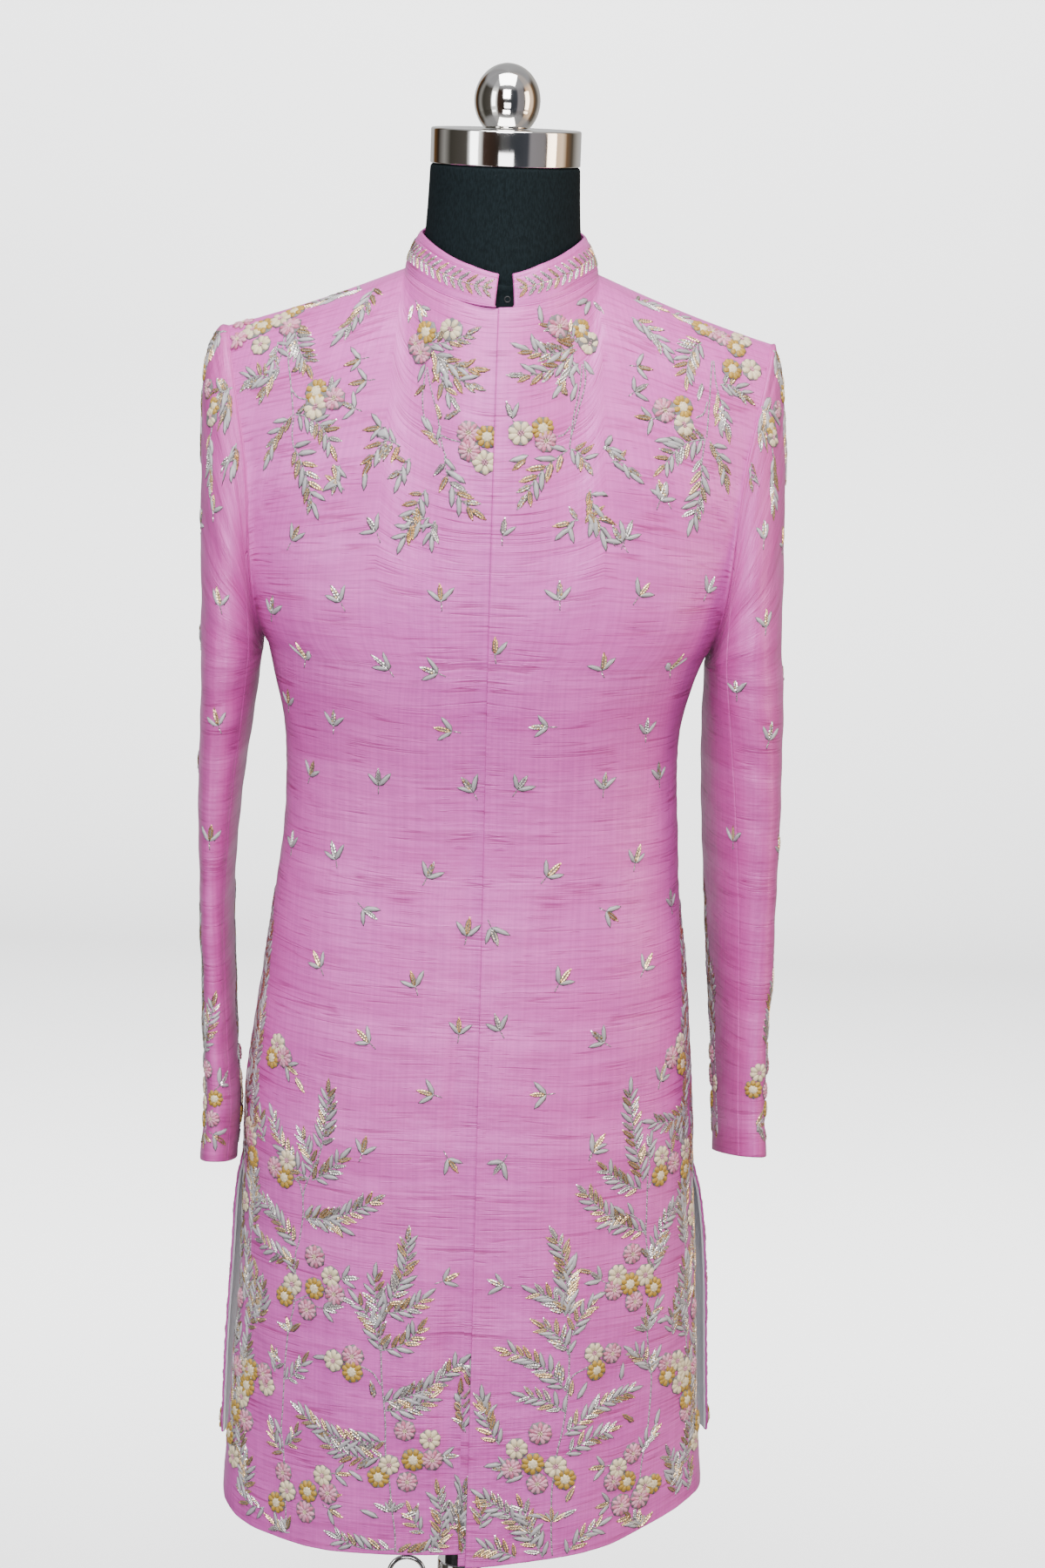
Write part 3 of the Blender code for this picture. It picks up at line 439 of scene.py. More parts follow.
def body_cloth(side, face):
    """One front or back panel: its surface with folds, creases and hem."""
    base = HEM_Z if face == "front" else BACK_HEM_Z
    hand = side if face == "front" else -side
    shares = spaced(PANEL_WIDTH, CLOTH_STEP) / PANEL_WIDTH
    up = base + spaced(ARMPIT_Z + UPPER_SPAN - base, CLOTH_STEP)
    grid = hemmed(side, face, shares, up)
    if face == "front" and side > 0:
        edge = front_edge_x(grid[:, 0, 2]) - grid[:, 0, 0]
        half = front_edge_x(grid[:, 0, 2]) * 0.5
        middle = EDGE_REACH / 2
        for j in np.nonzero(shares < EDGE_REACH)[0]:
            if shares[j] < middle:
                grid[:, j, 0] += edge + (half - edge) * shares[j] / middle
            else:
                grid[:, j, 0] += half * (EDGE_REACH - shares[j]) / middle
    if face == "front" and side < 0:
        lap = spaced(LAP_WIDTH / LAP_SPAN, CLOTH_STEP / LAP_SPAN)[::-1]
        under = hemmed(1, face, lap[:-1], up)
        grid = np.concatenate((under, grid), axis=1)
        shares = np.concatenate((-lap[:-1], shares))
        near = grid[:, :, 0] - front_edge_x(grid[:, :, 2]) + 0.034
        grid = grid - (grid_normals(grid) * hand * LAP_SINK
                       * smooth(near / 0.026)[..., None])
    cloth = Cloth(grid, shares, up, hand)
    cloth.push(body_relief(side, face, cloth))
    return cloth


def hemmed(side, face, shares, up):
    """Body points with the lowest rows eased to the finished hem."""
    grid = body_points(side, face, shares, up)
    dense = np.linspace(0.390, ARMPIT_Z, 500)
    column = body_points(side, face, shares, dense)
    rise = hem_rise(side, face, shares)
    low = up < 0.75
    for j in range(len(shares)):
        here = up[low] + rise[j] * (1.0 - smooth((up[low] - up[0]) / 0.25))
        for k in range(3):
            grid[low, j, k] = np.interp(here, dense, column[:, j, k])
    return grid


def body_relief(side, face, cloth):
    """Creases, slight unevenness, seam puckers and turned edges of a panel."""
    u = cloth.u
    v = cloth.v
    width = cloth.widths[:, None]
    to_side = width - u
    to_hem = v - v[0, 0]
    to_top = v[-1, 0] - v
    seed = 11 if face == "front" else 23
    calm = smooth(to_side / 0.020) * smooth(to_top / 0.030)
    relief = creased(u, v, CREASES[face]) * calm
    relief += creased(u, v, OWN_CREASES.get((face, side), ())) * calm
    relief += 0.00045 * ripple(u, v, 0.090, seed + side) * calm
    relief += 0.00022 * ripple(u, v, 0.030, seed + 5 + side, 0.55) * calm
    worked = smooth((0.800 - v) / 0.10) + smooth((v - 1.20) / 0.08)
    relief += 0.00022 * ripple(u, v, 0.016, seed + 9 + side) * calm * worked
    waist = smooth((v - 0.98) / 0.06)
    relief = np.where(relief < 0.0, relief * (1.0 - 0.75 * waist), relief)
    side_seam = np.exp(-(to_side / 0.012) ** 2)
    relief += 0.00030 * side_seam * np.sin(v * 350.0 + 3.0 * np.sin(v * 47.0))
    if face == "front":
        edge = np.exp(-(u / 0.014) ** 2) if side > 0 else 0.0
        relief *= 1.0 - 0.8 * edge
        if side < 0:
            relief *= smooth((u + 0.004) / 0.016)
        relief -= 0.00035 * np.exp(-((to_hem - 0.034) / 0.0025) ** 2)
    relief -= rolled(to_side, 0.0006) + rolled(to_hem, 0.0012)
    relief -= rolled(to_top, 0.0006)
    if face == "back" or side > 0:
        relief -= rolled(u - u[:, :1], 0.0011)
    return relief


# ---------------------------------------------------------------- sleeves
def ring_points(table, turns, z):
    """Sleeve sections: turn 0 faces out, 0.25 ahead, 0.5 the body."""
    row = {name: read(table, name, z)[:, None] for name in table[0][1:]}
    turns = turns % 1.0
    quarter = (turns * 4.0).astype(int) % 4
    part = turns * 4.0 - np.floor(turns * 4.0)
    part = np.where((quarter == 1) | (quarter == 3), 1.0 - part, part)
    angles = np.linspace(0.0, math.pi / 2, 61)
    bow = 2.0 / SLEEVE_POWER
    out = np.empty((len(z), len(turns)))
    ahead = np.empty_like(out)
    for k in range(len(z)):
        chain = np.stack([row["thick"][k] * np.abs(np.cos(angles)) ** bow,
                          row["depth"][k] * np.sin(angles) ** bow,
                          angles * 0.0], -1)
        spot = along(chain, part)
        out[k] = np.where((quarter == 0) | (quarter == 3), spot[:, 0], -spot[:, 0])
        ahead[k] = np.where(quarter < 2, -spot[:, 1], spot[:, 1])
    yaw = np.radians(row["yaw"])
    return np.stack([row["x"] + out * np.cos(yaw) - ahead * np.sin(yaw),
                     row["y"] + out * np.sin(yaw) + ahead * np.cos(yaw),
                     np.broadcast_to(z[:, None], out.shape)], -1)


def armhole_loop(turns):
    """Points of the armhole: turn 0 the shoulder, 0.5 the armpit."""
    turns = turns % 1.0
    steps = np.linspace(0.0, math.pi, 61)
    z = SHOULDER[2] + (ARMPIT_Z - SHOULDER[2]) * (1.0 - np.cos(steps)) / 2
    points = np.empty((len(turns), 3))
    for face, here, share in (("front", turns <= 0.5, turns * 2.0),
                              ("back", turns > 0.5, (1.0 - turns) * 2.0)):
        chain = np.stack([read_armhole("x", z), read_armhole(face + "_y", z), z], -1)
        points[here] = along(chain, share[here])
    return points


def sleeve_points(side, turns, up):
    """Sleeve surface on a grid of turns and flat heights, cuff first."""
    table = SLEEVES[side]
    top_z = table[1][0]
    points = ring_points(table, turns, up[up <= top_z])
    ahead = read(table, "y", points[:, 0, 2])[:, None] - points[:, :, 1]
    points[:, :, 2] += CUFF_SLANT * ahead * (1.0 - smooth(
        (points[:, :, 2] - table[-1][0]) / 0.150))
    down = 1.0 - (up[up > top_z] - top_z) / SLEEVE_HEAD
    if len(down):
        start = armhole_loop(turns)
        end = ring_points(table, turns, np.array([top_z]))[0]
        below = ring_points(table, turns, np.array([top_z - 0.02]))[0]
        length = np.linalg.norm(end - start, axis=1)[:, None]
        angle = (turns % 1.0) * math.tau
        outward = np.stack([np.ones_like(angle), -0.35 * np.sin(angle),
                            0.10 * np.cos(angle)], -1)
        outward /= np.linalg.norm(outward, axis=1, keepdims=True)
        top_share = ((1.0 + np.cos(angle)) / 2.0)[:, None]
        start_pull = outward * (0.006 + HEAD_PULL[side] * top_share ** 1.6)
        end_pull = (below - end) / 0.02 * length * 1.05
        start = start + outward * (0.0005 + 0.0003 * (1.0 - top_share))
        head = hermite(start[None], start_pull[None], end[None], end_pull[None],
                       down[:, None, None])
        points = np.concatenate((points, head))
    points[:, :, 0] = side * points[:, :, 0] + side_shift(
        np.maximum(points[:, :, 2], ARMPIT_Z))
    return points


def sleeve_cloth(side, first, last):
    """Sleeve surface between two turns; u is measured from turn 0."""
    cuff_z = SLEEVES[side][-1][0]
    top_z = SLEEVES[side][1][0]
    turns = first + (last - first) * spaced(last - first, 0.016,
                                            (0.0012, 0.0035, 0.007)) / (last - first)
    up = cuff_z + spaced(top_z + SLEEVE_HEAD - cuff_z, CLOTH_STEP)
    cloth = Cloth(sleeve_points(side, turns, up), turns, up, -side)
    cloth.push(sleeve_relief(side, cloth, first, last))
    return cloth


def sleeve_relief(side, cloth, first, last):
    """Creases, roped sleeve head, turned cuff and seam edges."""
    u = cloth.u
    v = cloth.v
    width = cloth.widths[:, None]
    whole = first < -0.4
    near = np.minimum(abs(u - SLEEVE_SEAM_FRONT * width),
                      abs(u - SLEEVE_SEAM_BACK * width))
    near = np.minimum(near, abs(u - (1.0 + SLEEVE_SEAM_BACK) * width))
    near = np.minimum(near, abs(u - (SLEEVE_SEAM_FRONT - 1.0) * width))
    calm = smooth(near / 0.010) * smooth((v[-1, 0] - v) / 0.03)
    relief = np.zeros(u.shape)
    for lap in (-1, 0, 1):
        relief += creased(u + lap * width, v, SLEEVE_CREASES[side])
    turn = u / width * math.tau
    relief += 0.00040 * np.sin(v * 62.0 + 1.7 * np.sin(v * 21.0) + side
                               + 1.3 * np.sin(turn)) * (0.6 + 0.4 * np.cos(turn))
    relief += 0.00025 * np.sin(v * 171.0 + 2.0 * np.cos(turn + side))
    relief *= calm
    head = np.exp(-((v[-1, 0] - v - 0.010) / 0.009) ** 2)
    crown = 0.5 + 0.5 * np.cos(turn)
    relief += head * crown * (0.0016 + 0.00035 * np.sin(u * 620.0))
    relief -= rolled(v[-1, 0] - v, 0.0005) + rolled(v - v[0, 0], 0.0012)
    relief -= 0.0003 * np.exp(-((v - v[0, 0] - 0.030) / 0.002) ** 2)
    if not whole:
        relief -= rolled(u - first * width, 0.0010)
        relief -= rolled(last * width - u, 0.0010)
    return relief


# ---------------------------------------------------------------- collar
def collar_cloth():
    """Stand collar from one end at the front, round the back, to the other."""
    start = (math.asin(0.0115 / NECK_HALF), math.asin(0.0090 / RIM_HALF))
    end = (math.tau - math.asin(0.0035 / NECK_HALF),
           math.tau - math.asin(0.0010 / RIM_HALF))
    spots = spaced(1.0, 0.0095, (0.0012, 0.0030, 0.0055))
    rises = spaced(COLLAR_HEIGHT, 0.0024, (0.0004, 0.0010, 0.0018)) / COLLAR_HEIGHT
    ends = []
    for k, (half, front_y, back_y, front_z, side_z, back_z) in enumerate((
            (NECK_HALF, NECK_FRONT_Y, NECK_BACK_Y, NECK_FRONT_Z, NECK_SIDE_Z,
             NECK_BACK_Z),
            (RIM_HALF, RIM_FRONT_Y, RIM_BACK_Y, RIM_FRONT_Z, RIM_SIDE_Z,
             RIM_BACK_Z))):
        angle = start[k] + (end[k] - start[k]) * spots
        reach = np.cos(angle)
        y = np.where(reach > 0, NECK_MIDDLE_Y + (front_y - NECK_MIDDLE_Y) * reach,
                     NECK_MIDDLE_Y - (back_y - NECK_MIDDLE_Y) * reach)
        z = side_z + np.where(reach > 0, front_z - side_z,
                              back_z - side_z) * reach ** 2
        ends.append(np.stack([half * np.sin(angle), y, z], -1))
    t = rises[:, None, None]
    grid = ends[0][None] + (ends[1] - ends[0])[None] * t
    out = grid * np.array((1.0, 1.0, 0.0))
    out /= np.linalg.norm(out, axis=2, keepdims=True)
    grid = grid + out * 0.0016 * np.sin(math.pi * t)
    grid[:, :, 2] += 0.0006 * (1.0 - rises[:, None])
    from_end = np.minimum(spots, 1.0 - spots)[None, :] * 36.0
    corner = np.clip(1.0 - from_end / 2.0, 0.0, 1.0) * smooth(
        (rises[:, None] - 0.5) * 2.0)
    grid[:, :, 2] -= 0.0028 * corner
    cloth = Cloth(grid, spots, rises * COLLAR_HEIGHT)
    u = cloth.u
    v = cloth.v
    length = cloth.widths[:, None]
    relief = 0.00025 * ripple(u, v, 0.035, 41)
    relief -= rolled(v, 0.0008) + rolled(COLLAR_HEIGHT - v, 0.0016)
    relief -= rolled(u, 0.0016) + rolled(length - u, 0.0016)
    relief += 0.00035 * (np.exp(-((v - 0.0032) / 0.0013) ** 2)
                         + np.exp(-((v - 0.0308) / 0.0013) ** 2))
    cloth.push(relief)
    return cloth


# ---------------------------------------------------------------- meshes
CORD_SIDES = 8


def deselect():
    if bpy.context.object and bpy.context.object.mode != "OBJECT":
        bpy.ops.object.mode_set(mode="OBJECT")
    bpy.ops.object.select_all(action="DESELECT")


def pick(item):
    """Make an object the only one selected, and the active one."""
    deselect()
    item.select_set(True)
    bpy.context.view_layer.objects.active = item


def edit_all():
    """Enter edit mode with everything selected."""
    bpy.ops.object.mode_set(mode="EDIT")
    bpy.ops.mesh.select_all(action="SELECT")


def leave_facing_out():
    """Turn every face outward and leave edit mode."""
    bpy.ops.mesh.select_all(action="SELECT")
    bpy.ops.mesh.normals_make_consistent(inside=False)
    bpy.ops.object.mode_set(mode="OBJECT")


def piece_from(name, verts, faces, uvs, materials, slots=None):
    """An object from arrays of points, faces and one flat place a point."""
    data = bpy.data.meshes.new(name)
    data.from_pydata(verts.tolist(), [], faces.tolist())
    for material in materials:
        data.materials.append(material)
    corners = np.empty(len(data.loops), np.int32)
    data.loops.foreach_get("vertex_index", corners)
    layer = data.uv_layers.new(name="cloth")
    layer.data.foreach_set("uv", uvs[corners].astype(np.float32).ravel())
    if slots is not None:
        data.polygons.foreach_set("material_index", slots.astype(np.int32))
    data.shade_smooth()
    if slots is not None:
        data.polygons.foreach_set("use_smooth", ~np.isin(slots, CUT_BEADS))
    item = bpy.data.objects.new(name, data)
    bpy.context.scene.collection.objects.link(item)
    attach(item, "root")
    return item


def seam_cord(name, points, radius, material, closed=False):
    """A thin round cord laid along a seam, its ends closed off."""
    count = len(points)
    if closed:
        ahead = np.roll(points, -1, 0) - np.roll(points, 1, 0)
    else:
        ahead = np.gradient(points, axis=0)
    ahead /= np.linalg.norm(ahead, axis=1, keepdims=True)
    across = np.cross(ahead, (0.0, 0.0, 1.0))
    flat = np.cross(ahead, (0.0, 1.0, 0.0))
    steep = np.linalg.norm(across, axis=1, keepdims=True) < 0.3
    across = np.where(steep, flat, across)
    across /= np.linalg.norm(across, axis=1, keepdims=True)
    across *= np.sign((across * np.roll(across, 1, 0)).sum(
        axis=1, keepdims=True)).cumprod(axis=0)
    up = np.cross(across, ahead)
    turn = np.arange(CORD_SIDES) * math.tau / CORD_SIDES
    ring = (across[:, None] * np.cos(turn)[None, :, None]
            + up[:, None] * np.sin(turn)[None, :, None]) * radius
    verts = (points[:, None] + ring).reshape(-1, 3)
    spans = count if closed else count - 1
    faces = []
    for i in range(spans):
        for k in range(CORD_SIDES):
            beside = (k + 1) % CORD_SIDES
            here = i * CORD_SIDES
            after = (i + 1) % count * CORD_SIDES
            faces.append((here + k, after + k, after + beside, here + beside))
    run = np.repeat(np.arange(count) * 0.004, CORD_SIDES)
    uvs = np.stack([run, np.tile(turn * radius, count)], -1)
    item = piece_from(name, verts, np.array(faces), uvs, [material])
    pick(item)
    edit_all()
    if not closed:
        bpy.ops.mesh.fill_holes(sides=CORD_SIDES)
    leave_facing_out()
    return item


def sheet_piece(name, cloth, wall, materials):
    """A closed thin shell on a cloth surface."""
    rows, columns = cloth.u.shape
    index = np.arange(rows * columns).reshape(rows, columns)
    corners = [index[:-1, :-1], index[:-1, 1:], index[1:, 1:], index[1:, :-1]]
    if cloth.hand < 0:
        corners.reverse()
    faces = np.stack([c.ravel() for c in corners], -1)
    uvs = np.stack([cloth.u, cloth.v], -1).reshape(-1, 2)
    item = piece_from(name, cloth.points.reshape(-1, 3), faces, uvs, materials)
    shell = item.modifiers.new("wall", "SOLIDIFY")
    shell.thickness = wall
    shell.offset = -1.0
    shell.use_quality_normals = True
    if len(materials) > 1:
        shell.material_offset = 1
    return item


# ---------------------------------------------------------------- layouts
# All in millimetres on the flat cloth: u from the centre, v from the floor.
CLOTH_STEP = 0.0056
CREASES = {
    "front": (
        (205, 1180, 120, 1120, 4, 9, -0.8), (212, 1150, 150, 1080, 3, 8, 0.7),
        (214, 1060, 150, 1046, 2, 5, -0.7), (215, 1040, 165, 1034, 1, 5, 0.6),
        (210, 1018, 158, 1020, -2, 6, -0.6), (208, 995, 170, 1003, 1, 5, 0.5),
        (205, 1290, 165, 1235, 4, 9, 0.6), (196, 1320, 150, 1290, 3, 10, -0.5),
        (60, 800, 48, 560, 5, 22, 0.8), (120, 840, 130, 470, -6, 26, -1.0),
        (165, 790, 172, 440, 5, 20, 1.0), (95, 640, 100, 430, 3, 16, 0.7),
        (30, 1230, 40, 1120, 3, 24, 0.5), (90, 1180, 85, 1020, 3, 26, 0.6),
        (188, 700, 196, 470, 3, 14, -0.9), (142, 620, 150, 440, -3, 13, 0.6),
    ),
    "back": (
        (200, 1170, 120, 1120, 4, 9, -0.9), (205, 1140, 140, 1075, 3, 8, 0.8),
        (214, 1045, 120, 1030, 2, 6, -0.9), (212, 1020, 100, 1012, 1, 6, 0.8),
        (205, 1000, 60, 990, -2, 7, -0.8), (150, 1060, 30, 1052, 1, 7, 0.6),
        (20, 860, 26, 480, 5, 20, 1.0), (70, 900, 60, 500, 5, 24, -1.1),
        (110, 880, 120, 470, -5, 22, 1.2), (160, 840, 172, 480, 4, 20, -1.0),
        (90, 1330, 150, 1200, 8, 20, -0.7), (60, 1300, 40, 1150, 4, 22, 0.6),
        (190, 700, 205, 480, 3, 16, 1.0), (40, 640, 46, 470, 3, 14, -0.7),
    ),
}
OWN_CREASES = {
    ("front", -1): (
        (20, 860, 14, 740, 3, 5, 1.2), (28, 800, 20, 640, 4, 5, -1.3),
        (12, 720, 22, 600, -3, 5, 1.3), (34, 700, 24, 540, 3, 6, 1.2),
        (16, 620, 10, 500, 2, 5, -1.4), (30, 560, 18, 430, 3, 5, 1.4),
        (8, 560, 24, 470, 2, 5, 1.2), (44, 520, 36, 430, 2, 6, -1.1),
        (13, 930, 9, 430, 2, 15, -1.6),
        (26, 940, 18, 880, 2, 4, -0.6), (60, 1055, 100, 1050, 1, 3, -0.4),
        (120, 1052, 160, 1046, 1, 3, 0.5), (140, 1032, 180, 1030, 1, 3, -0.5),
    ),
    ("front", 1): (
        (24, 1262, 60, 1258, 1, 3, 0.4), (80, 850, 130, 844, 2, 5, -0.4),
        (30, 705, 90, 712, 2, 4, -0.4), (110, 905, 150, 900, 1, 4, 0.4),
    ),
}
SLEEVE_CREASES = {
    1: (
        (115, 1160, 60, 1130, 5, 7, -1.0), (125, 1140, 70, 1096, 5, 7, 1.0),
        (118, 1112, 72, 1070, 4, 6, -1.2), (112, 1082, 60, 1052, 3, 6, 0.9),
        (100, 1052, 66, 1012, 3, 6, -0.9), (40, 1190, 20, 1060, 5, 12, 0.9),
        (-30, 1220, -20, 1050, 5, 12, -0.9), (-90, 1120, -30, 1080, 5, 8, 0.9),
        (70, 980, 76, 860, 2, 10, -0.7), (20, 960, 30, 820, 3, 11, 0.7),
        (-60, 1020, -20, 980, 3, 8, -0.9), (-70, 930, -40, 880, 3, 9, 0.7),
        (150, 1230, 120, 1160, 4, 9, 1.0), (165, 1200, 140, 1130, 3, 8, -1.0),
    ),
    -1: (
        (118, 1175, 72, 1150, 4, 7, 0.9), (122, 1150, 66, 1116, 5, 7, -1.0),
        (116, 1120, 64, 1096, 4, 6, 0.8), (110, 1090, 60, 1058, 3, 6, -0.9),
        (104, 1060, 60, 1032, 3, 6, 0.7), (36, 1180, 26, 1040, 5, 12, -0.8),
        (-30, 1200, -26, 1060, 5, 12, 0.9), (-85, 1110, -30, 1070, 5, 8, -0.9),
        (80, 960, 72, 840, 3, 10, 0.7), (16, 950, 24, 800, 3, 11, -0.7),
        (-60, 1010, -24, 970, 3, 8, 0.8), (-66, 920, -40, 870, 3, 9, -0.7),
        (150, 1220, 124, 1150, 4, 9, -1.0), (165, 1190, 140, 1120, 3, 8, 1.0),
    ),
}

